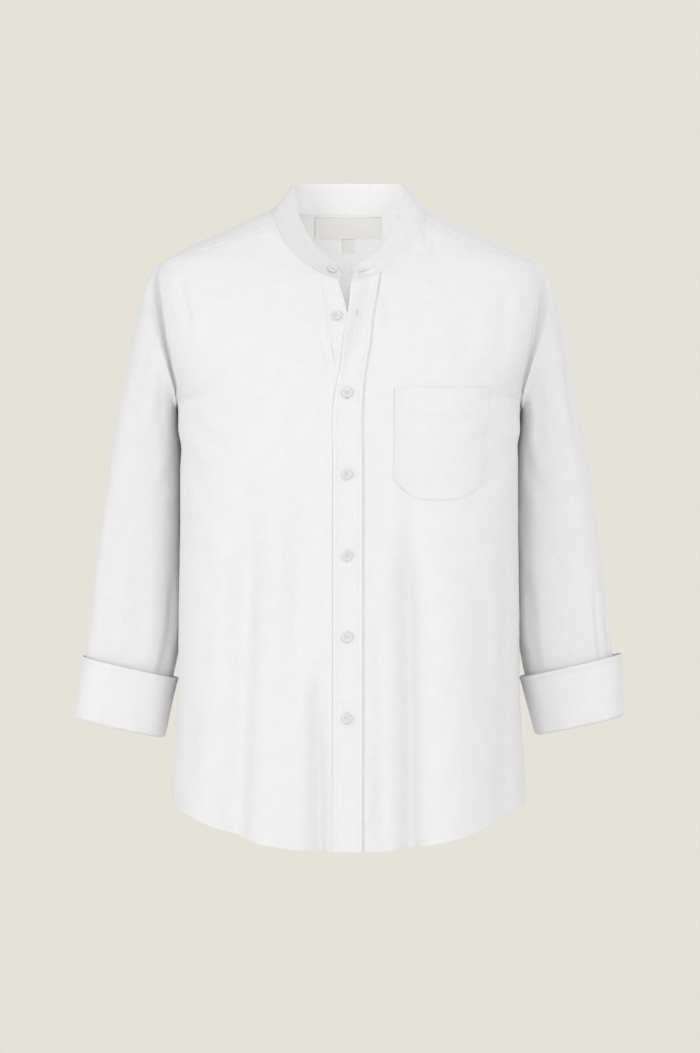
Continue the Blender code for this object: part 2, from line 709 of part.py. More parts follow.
def build():
    empty_scene()
    shirt = bpy.data.collections.new("mandarin_collar_shirt")
    bpy.context.scene.collection.children.link(shirt)
    cloth("front_left", front_panel("left"), shirt)
    cloth("front_right", front_panel("right"), shirt)
    cloth("back", back_panel(), shirt)
    cloth("yoke", yoke(), shirt)
    cloth("placket", front_band("left", BAND_LIFT), shirt, BAND_CLOTH)
    cloth("button_stand", front_band("right", -STAND_SINK), shirt, BAND_CLOTH)
    cloth("collar", collar(), shirt, BAND_CLOTH)
    cloth("pocket", pocket(), shirt, TRIM_CLOTH)
    for side_name, side in SIDES.items():
        arm, turn_back = sleeve(), cuff(side)
        if side < 0:
            arm, turn_back = mirrored(arm), mirrored(turn_back)
        cloth("sleeve_" + side_name, arm, shirt, ring=True)
        cloth("cuff_" + side_name, turn_back, shirt, CUFF_CLOTH, ring=True)
    front_buttons(shirt)
    collar_button(shirt)
    depth = CLOTH + SEAM_GAP + TRIM_CLOTH
    cloth("neck_label", patch_inside_back(*LABEL, depth), shirt, TRIM_CLOTH, TAPE)
    cloth("size_tag", patch_inside_back(*SIZE_TAG, depth), shirt, TRIM_CLOTH, TAPE)


build()
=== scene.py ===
"""White linen mandarin collar shirt, filled out with nobody in it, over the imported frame.

Every cloth piece is a fine grid of points on the same surfaces as its CAD solid, in millimetres, with the
creases, seams and hems worked into it. Solidify gives it its wall. MM turns the sizes into metres.
"""

import math
from itertools import product

import bpy
import numpy as np
from mathutils import Matrix, Vector


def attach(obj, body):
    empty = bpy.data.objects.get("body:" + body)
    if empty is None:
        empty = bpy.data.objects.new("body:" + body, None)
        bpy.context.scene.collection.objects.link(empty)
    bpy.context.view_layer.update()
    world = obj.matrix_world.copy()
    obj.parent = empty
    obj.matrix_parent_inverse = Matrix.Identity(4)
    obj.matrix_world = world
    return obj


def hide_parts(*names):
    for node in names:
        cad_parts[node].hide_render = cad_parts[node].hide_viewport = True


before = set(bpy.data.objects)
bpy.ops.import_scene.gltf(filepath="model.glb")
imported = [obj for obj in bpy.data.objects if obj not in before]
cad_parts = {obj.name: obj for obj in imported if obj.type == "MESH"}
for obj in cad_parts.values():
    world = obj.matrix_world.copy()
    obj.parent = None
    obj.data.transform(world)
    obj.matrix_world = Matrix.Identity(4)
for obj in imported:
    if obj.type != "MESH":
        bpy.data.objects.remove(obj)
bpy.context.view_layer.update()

MM = 0.001
SIDES = {"left": 1, "right": -1}


def table(names, *rows):
    """Columns by name, each an array with a value for every row."""
    return dict(zip(names.split(), np.array(rows, float).T))


# ---- the frame's sizes, as the CAD has them ----

NECK_HALF_WIDTH = 88
NECK_TOP = -3
NECK_DROP = 87
NECK_POWER = 1.8

COLLAR_TOP_HALF_WIDTH = 64
COLLAR_TOP_Z = 26.5
COLLAR_TOP_DROP = 97.5
COLLAR_TOP_FRONT = 58
COLLAR_TOP_BACK = 40
COLLAR_BACK_RISE = 5
COLLAR_END_X = {"left": 3.5, "right": 10}
COLLAR_END_RADIUS = 12
COLLAR_HEIGHT = 34
COLLAR_PER_DEGREE = 1.5  # millimetres round the front of the collar

SHOULDER_Z = -63
ARMPIT_Z = -228
ARMHOLE_FRONT = math.radians(20)
ARMHOLE_BACK = math.radians(24)
YOKE_NECK_Z = {"left": -16, "right": -25}
YOKE_SAG = {"left": 6, "right": 1}

SIDE_HEM_Z = -682
HEM_DROP = 49
HEM_POWER = 2.4

BODY = table(
    "z width front back power",
    (-760, 206, 117, 108, 2.6),
    (-682, 203, 117, 108, 2.6),
    (-555, 196, 116, 106, 2.6),
    (-452, 195, 116, 106, 2.6),
    (-337, 193.5, 116, 109, 2.6),
    (-268, 193, 115, 113, 2.6),
    (-216, 195, 111, 116, 2.65),
    (-180, 207, 105, 117, 2.7),
    (-140, 218, 95, 114, 2.7),
    (-102, 222, 81, 107, 2.7),
    (-76, 220, 71, 99, 2.6),
    (-63, 214, 66, 94, 2.5),
    (-50, 191, 60, 88, 2.4),
    (-35, 160, 54, 80, 2.3),
    (-22, 132, 48, 71, 2.2),
    (-10, 106, 42, 61, 2.2),
    (-3, 88, 38, 54, 2.2),
    (4, 79, 33, 45, 2.2),
)
BANDS = table(
    "z left_edge left_seam right_edge right_seam",
    (-760, -18, 14.6, 13.0, -16.5),
    (-300, -18, 14.6, 13.0, -16.5),
    (-228, -17.5, 14.6, 12.6, -16.2),
    (-208, -14, 16, 11, -16),
    (-186, -9.5, 19, 8, -17),
    (-163, -7.5, 23, 4, -20.5),
    (-126, -1.5, 27.5, -2.5, -26),
    (-108, 0.5, 31.0, -6.5, -28.5),
    (-88, 2.2, 34.0, -12.5, -31),
    (-60, 3, 37, -16, -34),
)
BAND_LIFT = (0.05, 1.2)  # of the left band's free edge and its seam, off the front
STAND_SINK = 1.0
STAND_SINK_REACH = (30, 56)

BODY_FOLDS = table(
    "back x_top z_top x_low z_low half_width depth_top depth_low",
    (0, 66, -330, 70, -745, 20, 4, 10),
    (0, 112, -340, 122, -745, 26, -2, -4),
    (0, 166, -480, 174, -700, 17, 1, 4),
    (0, -104, -300, -138, -745, 21, 3, 7),
    (0, -72, -560, -88, -745, 22, -1, -4),
    (0, -38, -585, -36, -745, 12, 0, 7),
    (1, -96, -190, -112, -745, 24, 4, 9),
    (1, -30, -330, -34, -745, 26, -2, -5),
    (1, 38, -180, 30, -745, 22, 4, 8),
    (1, 118, -260, 128, -745, 26, 3, 9),
    (1, 80, -400, 82, -745, 22, -1, -4),
)
FOLD_LEAD_IN = 0.33

SLEEVE = table(
    "along outer_x outer_z inner_x inner_z y skew half_depth",
    (0, 215, -63, 195, -229, 6, 0, 52),
    (14, 225, -71, 197, -231, 8, 1, 54),
    (44, 237, -100, 198, -233, 12, 5, 57),
    (86, 248.5, -141, 197.5, -238, 15, 12, 60),
    (128, 257, -182, 196, -252, 17, 20, 61),
    (176, 265, -229, 193.5, -278, 18, 26, 60),
    (234, 275, -287, 192.5, -322, 18, 28, 56),
    (298, 284, -350, 192.5, -378, 17, 28, 51),
    (364, 292.5, -416, 193, -440, 15, 27, 46),
    (424, 299, -475, 196, -498, 13, 23, 42),
    (460, 303, -510, 203, -536, 12, 20, 40),
    (500, 306, -548, 213, -572, 11, 17, 39),
)
SLEEVE_POWER = 2.5
SLEEVE_LENGTH = 500
ARMHOLE_FADE = 90

TUCK = table(
    "angle depth",
    (0, 0),
    (8, 4),
    (16, 9),
    (32, 13),
    (60, 14.5),
    (95, 14),
    (140, 11),
    (165, 4),
    (180, 2),
    (200, 4),
    (235, 10),
    (280, 8),
    (330, 2),
    (360, 0),
)
TUCK_MIDDLE = 7
TUCK_REACH = 26

CUFF = table(
    "side top_x top_z top_half fold_x fold_z fold_half top_depth fold_depth",
    (1, 256.0, -526.7, 60.0, 266.0, -592.8, 53.0, 45.5, 44),
    (-1, 252.8, -529.0, 56.0, 264.8, -595.5, 53.5, 44.5, 44),
)
CUFF_TILT = math.radians(13.4)
CUFF_Y = 11
CUFF_SKEW = 17
CUFF_FOLD_RADIUS = 3.2

POCKET_MIDDLE = (104, 101)
POCKET_HALF_WIDTH = (53, 51.5)
POCKET_TOP = -211
POCKET_CORNER_Z = -314
POCKET_FOOT = -337
POCKET_POWER = 3

BUTTON_RADIUS = 5.7
BUTTON_THICKNESS = 2.4
BUTTON_RIM = 1.6
BUTTON_CLEARANCE = 0.35
BUTTON_X = -2.2
FRONT_BUTTON_Z = -217.5
BUTTON_SPACING = 91
FRONT_BUTTONS = 5
STAND_BUTTON = (-14.2, -130)
COLLAR_BUTTON_X = 21.5

LABEL = (-40, 38, -29.5, -6)
SIZE_TAG = (-8.5, 7, -45.5, -30.2)

# ---- the cloth's own sizes ----

# Walls.
CLOTH = 0.9
BAND_CLOTH = 1.7
TRIM_CLOTH = 0.6
PLACKET_CLOTH = 1.0
STAND_CLOTH = 1.2
CUFF_CLOTH = 1.4

UNDERLAP = 5  # of the left front under its band
POCKET_LIFT = 0.62  # off the front
LABEL_DEPTH = 1.7  # inside the yoke
POCKET_HEM = 31  # depth of the hem at the pocket's mouth

# Lengths and counts that the grids' steps are worked out from.
POCKET_SIZE = (105, 125)
FRONT_WIDTH = 250
BACK_WIDTH = 520
BAND_WIDTH = 33
ARMHOLE_STEPS = 160
YOKE_TURN = 8
BACK_YOKE_TURN = 24
YOKE_FRONT_LINES = 14
YOKE_BLEND = 16  # steps below the front yoke seam over which the rows take its line
SEAM_STEPS = 88
BACK_STEPS = 124
BODY_ROWS = 118
BAND_ROWS = 38
ARMPIT_ROW_RISE = 23
BAND_COLUMNS = 24
COLLAR_ROWS = 20
COLLAR_COLUMNS = 110
SLEEVE_ROWS = 128
CUFF_INSIDE_ROWS = 8
CUFF_FOLD_ROWS = 8

FINE_REACH = 9  # from a sewn edge, how far the grid's lines stay close together
FINE_FACTOR = 4

GROOVE = 0.35  # depth of a seam
BESIDE_BAND = 0.8  # and of the left front beside its band's seam
HEM_RISE = 0.45
HEM_STEP = 1.6  # width of the slope at the inner edge of what is turned in
STITCH_DIMPLE = 0.4
PUCKER = 0.3  # depth of the small waves along what is sewn
PUCKER_SIZE = 9

# Distances from the edges to their topstitching.
HEM_STITCH = 5.5
ARMHOLE_STITCH = 18
BAND_STITCH = 5.0
CUFF_STITCH = 5.0
EDGE_STITCH = 1.6  # pocket, yoke, button band and tapes
POCKET_STITCH = 7.0  # the pocket's second row
STAND_STITCH = 2.0  # the button band's free edge
COLLAR_STITCH = 2.2
NECK_STITCH = 1.8
RIGHT_SEAM = 1.5  # how far the right front is raised beside its band

# Creases in the front and back, in the plane of the wearer's front: three points of each, its width and
# depth, and the share of its depth that stands up beside it: on its right going along it, left if negative.
BODY_CREASES = table(
    "back x0 z0 x1 z1 x2 z2 width depth ridge",
    (0, -41, -134, -25, -168, -20.5, -204, 3.4, 2.6, -0.55),
    (0, -18.5, -172, -15, -188, -14.2, -206, 2.2, 1.0, 0.4),
    (0, -34, -116, -29, -136, -30, -158, 5, 1.0, 0.3),
    (0, 32, -80, 15, -122, -4, -214, 7.0, 5.5, 0.4),
    (0, 22, -106, 9, -138, 4, -178, 3.0, 0.9, -0.5),
    (0, 30, -96, 25, -124, 18, -170, 3.0, 0.8, -0.6),
    (0, 84.5, -25, 86, -34, 86.5, -50, 2.6, 1.9, 0.5),
    (0, 93, -28, 97, -48, 98, -74, 4.0, 1.0, 0.4),
    (0, 76, -40, 72, -62, 60, -88, 5.0, 1.0, -0.4),
    (0, 52, -90, 46, -120, 38, -170, 6, 1.3, 0.3),
    (0, -92, -60, -82, -110, -72, -160, 12, 1.2, 0.2),
    (0, 140, -90, 134, -140, 122, -190, 12, 1.2, 0.3),
    (0, -194, -78, -187, -113, -178, -146, 5.0, 3.6, 0.4),
    (0, -150, -76, -152, -120, -158, -180, 10, 1.6, 0.3),
    (0, 178, -84, 176, -130, 170, -190, 8, 1.6, -0.4),
    (0, 186, -236, 160, -262, 120, -276, 9, 1.8, 0.4),
    (0, 188, -262, 168, -300, 150, -340, 9, 1.6, -0.4),
    (0, -186, -240, -160, -268, -128, -286, 9, 1.8, -0.4),
    (0, -188, -270, -172, -310, -160, -360, 9, 1.5, 0.4),
    (0, -60, -230, -52, -300, -54, -380, 12, 1.3, 0.3),
    (0, 34, -260, 40, -330, 44, -420, 10, 1.2, 0.3),
    (0, -52, -400, -60, -470, -56, -560, 11, 1.6, -0.3),
    (0, -150, -400, -160, -480, -168, -560, 13, 1.6, 0.3),
    (0, 146, -420, 150, -500, 144, -600, 12, 1.5, -0.3),
    (0, 30, -600, 34, -660, 32, -728, 8, 1.5, 0.3),
    (0, 68, -290, 73, -600, 76, -950, 12, 12.0, 0.12),
    (0, -112, -262, -124, -580, -136, -950, 15, 10.0, -0.15),
    (0, -48, -330, -58, -440, -50, -560, 14, 4.5, 0.2),
    (0, -37, -500, -30, -700, -26, -980, 9, 11.0, 0.12),
    (0, 176, -330, 182, -560, 186, -900, 12, 4.0, -0.2),
    (0, 30, -420, 38, -640, 36, -900, 10, 2.5, 0.2),
    (0, -176, -560, -180, -620, -178, -680, 9, 1.8, 0.3),
    *((0, s * 188, -205, s * 192, -240, s * 192, -275, 14, -3.2, 0.01) for s in (1, -1)),
    *((1, s * 188, -205, s * 192, -240, s * 192, -275, 14, -3.2, 0.01) for s in (1, -1)),
    (1, -150, -110, -120, -150, -100, -210, 11, 2.2, 0.4),
    (1, 152, -112, 126, -156, 112, -220, 11, 2.4, -0.4),
    (1, -184, -150, -168, -200, -160, -260, 8, 2.2, 0.4),
    (1, 186, -146, 172, -196, 166, -262, 8, 2.0, -0.4),
    (1, -186, -244, -150, -270, -104, -280, 10, 2.4, -0.4),
    (1, 184, -250, 152, -282, 112, -296, 10, 2.2, 0.4),
    (1, -60, -130, -66, -200, -58, -280, 12, 1.6, 0.3),
    (1, 4, -140, 0, -230, 6, -330, 14, 1.6, -0.3),
    (1, 70, -130, 76, -190, 72, -260, 11, 1.4, 0.3),
    (1, -160, -380, -166, -480, -156, -600, 13, 2.4, 0.3),
    (1, 164, -400, 170, -500, 166, -620, 13, 2.2, -0.3),
    (1, -66, -420, -70, -540, -62, -700, 12, 2.0, 0.3),
    (1, 60, -380, 54, -520, 58, -690, 12, 1.8, -0.3),
)

# Creases in the sleeves, on the cloth laid open: across from the outer side to the front, and down the arm.
ACROSS_PER_DEGREE = 0.92
SLEEVE_CREASES = table(
    "side x0 z0 x1 z1 x2 z2 width depth ridge",
    (1, 40, 372, 46, 430, 44, 492, 4.5, 2.0, 0.5),
    (1, 20, 400, 24, 450, 22, 494, 4.0, 1.8, -0.5),
    (1, 34, 60, 42, 150, 40, 250, 9, 1.6, 0.4),
    (1, 96, 70, 92, 140, 98, 210, 9, 1.6, 0.3),
    (1, 120, 180, 108, 230, 84, 262, 9, 1.5, 0.4),
    (1, 126, 330, 120, 400, 124, 486, 10, 2.0, -0.3),
    (1, 60, 300, 84, 330, 118, 344, 9, 1.0, 0.4),
    (-1, 128, 340, 126, 420, 120, 494, 8, 3.2, 0.35),
    (-1, 62, 50, 74, 110, 70, 190, 7, 1.8, 0.4),
    (-1, 100, 54, 96, 110, 104, 180, 7, 1.8, -0.3),
    (-1, 124, 190, 110, 236, 90, 270, 9, 1.5, 0.4),
    (-1, 34, 250, 40, 330, 34, 420, 11, 1.2, 0.3),
    (-1, 84, 330, 88, 400, 82, 480, 8, 1.3, -0.4),
    (1, -40, 60, -52, 140, -46, 230, 9, 2.4, 0.4),
    (1, -96, 70, -90, 150, -98, 230, 10, 2.6, -0.4),
    (1, -60, 300, -84, 330, -124, 336, 8, 2.4, 0.4),
    (1, -130, 270, -96, 292, -64, 282, 8, 2.0, 0.4),
    (1, -70, 380, -76, 430, -70, 492, 7, 2.0, 0.4),
    (1, -112, 360, -108, 430, -114, 492, 8, 2.2, -0.4),
    (-1, -44, 60, -50, 150, -48, 240, 9, 2.2, 0.4),
    (-1, -100, 66, -94, 140, -102, 220, 10, 2.6, -0.4),
    (-1, -56, 296, -80, 322, -126, 330, 8, 2.2, 0.4),
    (-1, -128, 262, -92, 280, -60, 276, 8, 2.2, 0.4),
    (-1, -66, 376, -74, 430, -68, 492, 7, 2.2, -0.4),
    (-1, -110, 350, -116, 420, -110, 492, 8, 2.0, 0.4),
)

# Wrinkles in the collar, on it laid open: round it in degrees from the centre front, and up in percent.
COLLAR_CREASES = table(
    "x0 z0 x1 z1 x2 z2 width depth ridge",
    (5, 66, 18, 56, 34, 66, 3.2, 1.4, 0.5),
    (8, 30, 20, 26, 38, 40, 3.4, 1.3, -0.5),
    (16, 44, 24, 48, 40, 60, 3.0, 0.9, 0.4),
    (2, 48, 10, 44, 16, 30, 3.0, 1.0, 0.4),
    (44, 30, 58, 44, 70, 40, 6, 0.7, 0.3),
    (92, 40, 110, 60, 130, 50, 9, 0.6, 0.3),
    (300, 40, 312, 54, 326, 46, 7, 0.7, -0.3),
)

CREASE_POINTS = 33
CREASE_FADE = 0.3  # share of a crease's length over which each of its ends fades
RIDGE_ASIDE = 1.9  # of the crease's width, from its middle to its ridge's
RIDGE_WIDTH = 1.2

CRUMPLE = ((34, 0.5), (17, 0.24), (8, 0.1))  # sizes of the cloth's small unevenness, and how deep each is
STRETCH_DOWN = 1.5
COLLAR_CRUMPLE = 0.6  # shares of it
SLEEVE_CRUMPLE = 1.3
CUFF_CRUMPLE = 1.2

STITCH_PITCH = 3.0
STITCH_LENGTH = 2.2
THREAD_RADIUS = 0.26
CAPSULE_SIDES = 5

BUTTONHOLE = (15, 2.6)  # its rim's length and width
TOP_BUTTONHOLE = (9.0, -126, 9, 2.4, math.radians(84))  # place, length, width and slant
COLLAR_BUTTONHOLE = (20, 15.6, 13, 2.6, 0)
RIM_STITCHES = 46
BUTTON_EDGE = 0.5
BUTTON_DISH = 0.75
BUTTON_HOLE = 0.95  # from the middle, both ways
SEAT_RISE = 0.45  # of a button's seat, above the cloth
UNDONE_SINK = 0.3  # of the undone button's
FACING_STEP = 2.5  # over which a button or buttonhole takes the cloth's direction

# ---- the studio, in metres ----

FLOOR_Z = -1.25
FLOOR_HALF_SIZE = (1.5, 1.4)
BACKDROP = (0.783, 0.76, 0.694)
AMBIENT = (0.70, 0.70, 0.707)
LAMPS = (  # name, place, what it's aimed at, size, watts, spread in degrees
    ("left", (-2.8, -1.6, -0.2), (0, 0, -0.36), 1.3, 17, 180),
    ("front_left", (-1.5, -2.8, -0.5), (0, 0, -0.4), 1.0, 9, 180),
    ("front_right", (1.5, -2.8, -0.5), (0, 0, -0.4), 1.0, 10, 180),
    ("top", (1.3, -2.2, 1.3), (0, 0, -0.2), 1.0, 13, 180),
    ("rear", (1.2, 2.8, 0.9), (0, 0, -0.36), 1.8, 25, 180),
    ("neck", (0.025, -0.025, -0.145), (0.015, 0.05, -0.02), 0.07, 0.085, 130),
)
LAMP_COLOUR = (1.0, 1.0, 1.01)
CAMERA_PLACE = (0.001, -4.0, -0.367)
CAMERA_LENS = 118.9

# ---- curves and surfaces ----


def between(rows, column, at):
    """A column's value where the table's first column is at, on a smooth curve through the rows."""
    keys, values = next(iter(rows.values())), rows[column]
    slopes = np.gradient(values, keys)
    at = np.clip(np.asarray(at, float), keys[0], keys[-1])
    i = np.clip(np.searchsorted(keys, at) - 1, 0, len(keys) - 2)
    step = keys[i + 1] - keys[i]
    t = (at - keys[i]) / step
    rest = 1 - t
    return (
        rest**2 * (1 + 2 * t) * values[i]
        + t**2 * (3 - 2 * t) * values[i + 1]
        + step * t * rest * (rest * slopes[i] - t * slopes[i + 1])
    )


def ease(t):
    """From 0 to 1, level at both ends."""
    t = np.clip(t, 0, 1)
    return t * t * (3 - 2 * t)


def bump_at(distance, width):
    """A soft bump of height 1 where the distance is 0."""
    return np.exp(-((distance / width) ** 2))


def power(value, exponent):
    """A power that keeps the value's sign."""
    return np.sign(value) * np.abs(value) ** exponent


def mix(a, b, share):
    """From a where the share is 0 to b where it is 1."""
    return a + (b - a) * share


def unit(vectors):
    """The same directions, one long."""
    return vectors / np.maximum(np.linalg.norm(vectors, axis=-1, keepdims=True), 1e-9)


def outward(surface, u, v, step):
    """The outward direction of a surface, given by u across and v up, over that step each way."""
    across = surface(u + step, v) - surface(u - step, v)
    return unit(np.cross(across, surface(u, v + step) - surface(u, v - step)))


def rows_of(columns):
    """The rows of a table, each as a dictionary."""
    for values in zip(*columns.values()):
        yield dict(zip(columns, values))


LATTICE = np.random.default_rng(7).uniform(-1, 1, 8192)


def noise(points, size):
    """Smooth unevenness from -1 to 1 whose bumps are about that size."""
    turned = points @ np.array([[0.8, 0.36, 0.48], [-0.6, 0.48, 0.64], [0.0, -0.8, 0.6]])
    scaled = turned / size
    cell = np.floor(scaled).astype(np.int64)
    t = scaled - cell
    t = t**3 * (t * (6 * t - 15) + 10)
    total = 0
    for corner in product((0, 1), repeat=3):
        key = (cell + corner) @ np.array([7919, 104729, 1299709]) + int(size * 977)
        weight = np.where(corner, t, 1 - t).prod(axis=-1)
        total = total + LATTICE[key % LATTICE.size] * weight
    return total


def crumple(points):
    """How far the cloth's own unevenness moves each point in, in millimetres."""
    squashed = points * (1, 1, 1 / STRETCH_DOWN)
    return sum(deep * noise(squashed, size) for size, deep in CRUMPLE)


def crease_line(crease):
    """Points across and up, along a crease's curve through its three points."""
    t = np.linspace(0, 1, CREASE_POINTS)
    weights = ((1 - t) * (1 - 2 * t), 4 * t * (1 - t), t * (2 * t - 1))
    return [sum(weight * crease[axis + point] for weight, point in zip(weights, "012")) for axis in "xz"]


def in_reach(crease, across, up):
    """Which points a crease can reach."""
    xs, zs = [[crease[axis + point] for point in "012"] for axis in "xz"]
    aside, beyond = 4 * crease["width"], 3 * crease["width"]
    near = (across > min(xs) - aside) & (across < max(xs) + aside)
    return near & (up > min(zs) - beyond) & (up < max(zs) + beyond)


def crease_depth(creases, across, up):
    """How far the creases push each point in. across and up lie on the cloth laid open."""
    depth = np.zeros(np.broadcast(across, up).shape)
    last = CREASE_POINTS - 1
    for crease in creases:
        near = in_reach(crease, across, up)
        if not near.any():
            continue
        width = crease["width"]
        line_x, line_z = crease_line(crease)
        along_x, along_z = np.gradient(line_x), np.gradient(line_z)
        step = np.hypot(along_x, along_z)
        from_x = across[near][:, None] - line_x
        from_z = up[near][:, None] - line_z
        closest = np.argmin(from_x**2 + from_z**2, axis=1)
        pick = np.arange(len(closest)), closest
        tangent_x, tangent_z = (along_x / step)[closest], (along_z / step)[closest]
        beyond = from_x[pick] * tangent_x + from_z[pick] * tangent_z
        aside = from_x[pick] * tangent_z - from_z[pick] * tangent_x
        place = (closest + np.clip(beyond / step[closest], -0.6, 0.6)) / last
        overshoot = np.where((closest == 0) | (closest == last), np.abs(beyond), 0)
        fade = ease(place / CREASE_FADE) * ease((1 - place) / CREASE_FADE) * bump_at(overshoot, width)
        lee = np.sign(crease["ridge"]) * RIDGE_ASIDE * width
        ridge = abs(crease["ridge"]) * bump_at(aside - lee, RIDGE_WIDTH * width)
        depth[near] += crease["depth"] * fade * (bump_at(aside, width) - ridge)
    return depth


def of_side(creases, name, value):
    """The creases whose column of that name holds that value."""
    return [crease for crease in rows_of(creases) if crease[name] == value]


BODY_CREASES_BY_SIDE = {back: of_side(BODY_CREASES, "back", back) for back in (0, 1)}


def angle_at(x, z):
    """The angle round the body, from the centre front, where its front is at that x."""
    share = np.clip(np.abs(x) / between(BODY, "width", z), 0, 1)
    return np.sign(x) * np.arcsin(share ** (between(BODY, "power", z) / 2))


def body_x(angle, z):
    """How far to the side the body is at an angle from its centre front."""
    return between(BODY, "width", z) * power(np.sin(angle), 2 / between(BODY, "power", z))


def fold_depth(x, z, back):
    """How far the long folds push the body inward there."""
    depth = np.zeros(np.broadcast(x, z).shape)
    for fold in rows_of(BODY_FOLDS):
        down = (z - fold["z_top"]) / (fold["z_low"] - fold["z_top"])
        middle = mix(fold["x_top"], fold["x_low"], down)
        deep = mix(fold["depth_top"], fold["depth_low"], np.clip(down, 0, 1))
        across = bump_at(x - middle, fold["half_width"])
        depth += np.where(back == bool(fold["back"]), deep * ease(down / FOLD_LEAD_IN) * across, 0)
    return depth


def worn_body(angle, z, sink=0):
    """The body's outside at a height and an angle round it: 0 in front, 90 degrees at the left."""
    angle, z = np.broadcast_arrays(np.asarray(angle, float), np.asarray(z, float))
    exponent = between(BODY, "power", z)
    across, ahead = np.sin(angle), np.cos(angle)
    back = ahead < 0
    width = between(BODY, "width", z)
    deep = np.where(back, between(BODY, "back", z), between(BODY, "front", z))
    x = width * power(across, 2 / exponent)
    y = -deep * power(ahead, 2 / exponent)
    inward_x = -power(x / width, exponent - 1) / width
    inward_y = -power(y / deep, exponent - 1) / deep
    creased = [crease_depth(BODY_CREASES_BY_SIDE[side], x, z) for side in (0, 1)]
    sink = sink + fold_depth(x, z, back) + np.where(back, creased[1], creased[0])
    sink = sink + crumple(np.stack([x, y, z], axis=-1))
    moved = sink / np.hypot(inward_x, inward_y)
    return np.stack([x + moved * inward_x, y + moved * inward_y, z], axis=-1)


def on_front(x, z, lift=0, inside_out=False):
    """A point of the front (or of the back, inside_out) at that x and height, moved out by lift."""
    x, z = np.broadcast_arrays(np.asarray(x, float), np.asarray(z, float))

    def surface(u, v):
        angle = angle_at(u, v)
        return worn_body(math.pi - angle if inside_out else angle, v)

    normal = outward(surface, x, z, 0.6)
    return surface(x, z) + np.asarray(lift)[..., None] * (-normal if inside_out else normal)


def spaced(length, count, start=True, end=True):
    """Shares of a length, from 0 to 1, with short steps near the ends that are sewn."""
    at = np.linspace(0, length, 3000)
    density = 1 + FINE_FACTOR * (start * bump_at(at, FINE_REACH) + end * bump_at(length - at, FINE_REACH))
    total = np.append(0, np.cumsum((density[1:] + density[:-1]) / 2))
    return np.interp(np.linspace(0, total[-1], count), total, at) / length


def along_path(path):
    """How far along a polyline each of its points is."""
    steps = np.linalg.norm(np.diff(path[:, :3], axis=0), axis=1)
    return np.append(0, np.cumsum(steps))


def at_shares(path, shares):
    """Points at those shares of a polyline's length, whatever its columns hold after x, y and z."""
    along = along_path(path)
    return np.stack([np.interp(np.asarray(shares) * along[-1], along, column) for column in path.T], axis=1)


def neck_z(x):
    """Height of the neck's edge at that x, on the front."""
    share = np.clip(1 - np.clip(np.abs(x) / NECK_HALF_WIDTH, 0, 1) ** NECK_POWER, 0, 1)
    return NECK_TOP - NECK_DROP * share ** (1 / NECK_POWER)


def neck_x(z):
    """Half the neck's width at that height."""
    share = np.clip((NECK_TOP - z) / NECK_DROP, 0, 1)
    return NECK_HALF_WIDTH * (1 - share**NECK_POWER) ** (1 / NECK_POWER)


def hem_z(x):
    """Height of the curved hem at that x."""
    share = np.clip(np.abs(x) / between(BODY, "width", SIDE_HEM_Z), 0, 1)
    return SIDE_HEM_Z - HEM_DROP * (1 - share**HEM_POWER)


def armhole(turn):
    """Angle and height of the left armhole's edge. turn is 0 at the shoulder and 90 degrees at the front."""
    z = (SHOULDER_Z + ARMPIT_Z) / 2 + (SHOULDER_Z - ARMPIT_Z) / 2 * np.cos(turn)
    reach = np.where(np.sin(turn) > 0, ARMHOLE_FRONT, ARMHOLE_BACK)
    return math.pi / 2 - reach * np.sin(turn), z


def armhole_turn(steps):
    """The turn round the armhole after so many of its steps."""
    return math.tau * np.asarray(steps) / ARMHOLE_STEPS


def yoke_line(side_name, share):
    """A line from the neck to the armhole: the front yoke seam at 0, the shoulder's ridge at 1."""
    top = YOKE_NECK_Z[side_name]
    far_angle, low = armhole(armhole_turn(YOKE_TURN))
    along = np.linspace(0, 1, 200)
    x = mix(neck_x(top), body_x(far_angle, low), along)
    z = mix(top, low, along) - YOKE_SAG[side_name] * np.sin(math.pi * along)
    angles = angle_at(x, z)
    angles[-1] = far_angle
    angles, z = mix(angles, math.pi / 2, share), mix(z, mix(NECK_TOP, SHOULDER_Z, along), share)
    near_neck = (1 - along) ** 2
    return angles + (angle_at(neck_x(z[0]), z[0]) - angles[0]) * near_neck, z


# ---- pieces, as grids of points with the rows going up ----

ROW_SHARES = spaced(ARMPIT_Z - SIDE_HEM_Z, BODY_ROWS + 1, True, False)
SEAM_SHARES = spaced(FRONT_WIDTH, SEAM_STEPS + 1)


def seam_x(side_name, z):
    """How far a front band's seam is from the centre at that height."""
    return np.abs(between(BANDS, side_name + "_seam", z))


def band_top_z(side_name):
    """Where a band's seam meets the neck."""
    heights = np.linspace(-100, -60, 400)
    return heights[np.argmin(np.abs(neck_z(seam_x(side_name, heights)) - heights))]


def band_side_heights(side_name):
    """Heights at which the front's rows, and its band's, meet their seam."""
    meets = ARMPIT_Z + ARMPIT_ROW_RISE
    low = mix(hem_z(0), meets, ROW_SHARES)[:-1]
    return np.append(low, np.linspace(meets, band_top_z(side_name), BAND_ROWS))


def underlap(rows):
    """How far the left front reaches under its band, row by row: nothing at the neck."""
    return UNDERLAP * (1 - ease((np.linspace(0, 1, rows) - 0.6) / 0.2))


def up_side(rows):
    """How far up the side seam each row is: 0 at the hem, 1 at the armpit and above."""
    return np.append(ROW_SHARES, np.ones(rows - len(ROW_SHARES)))[:, None]


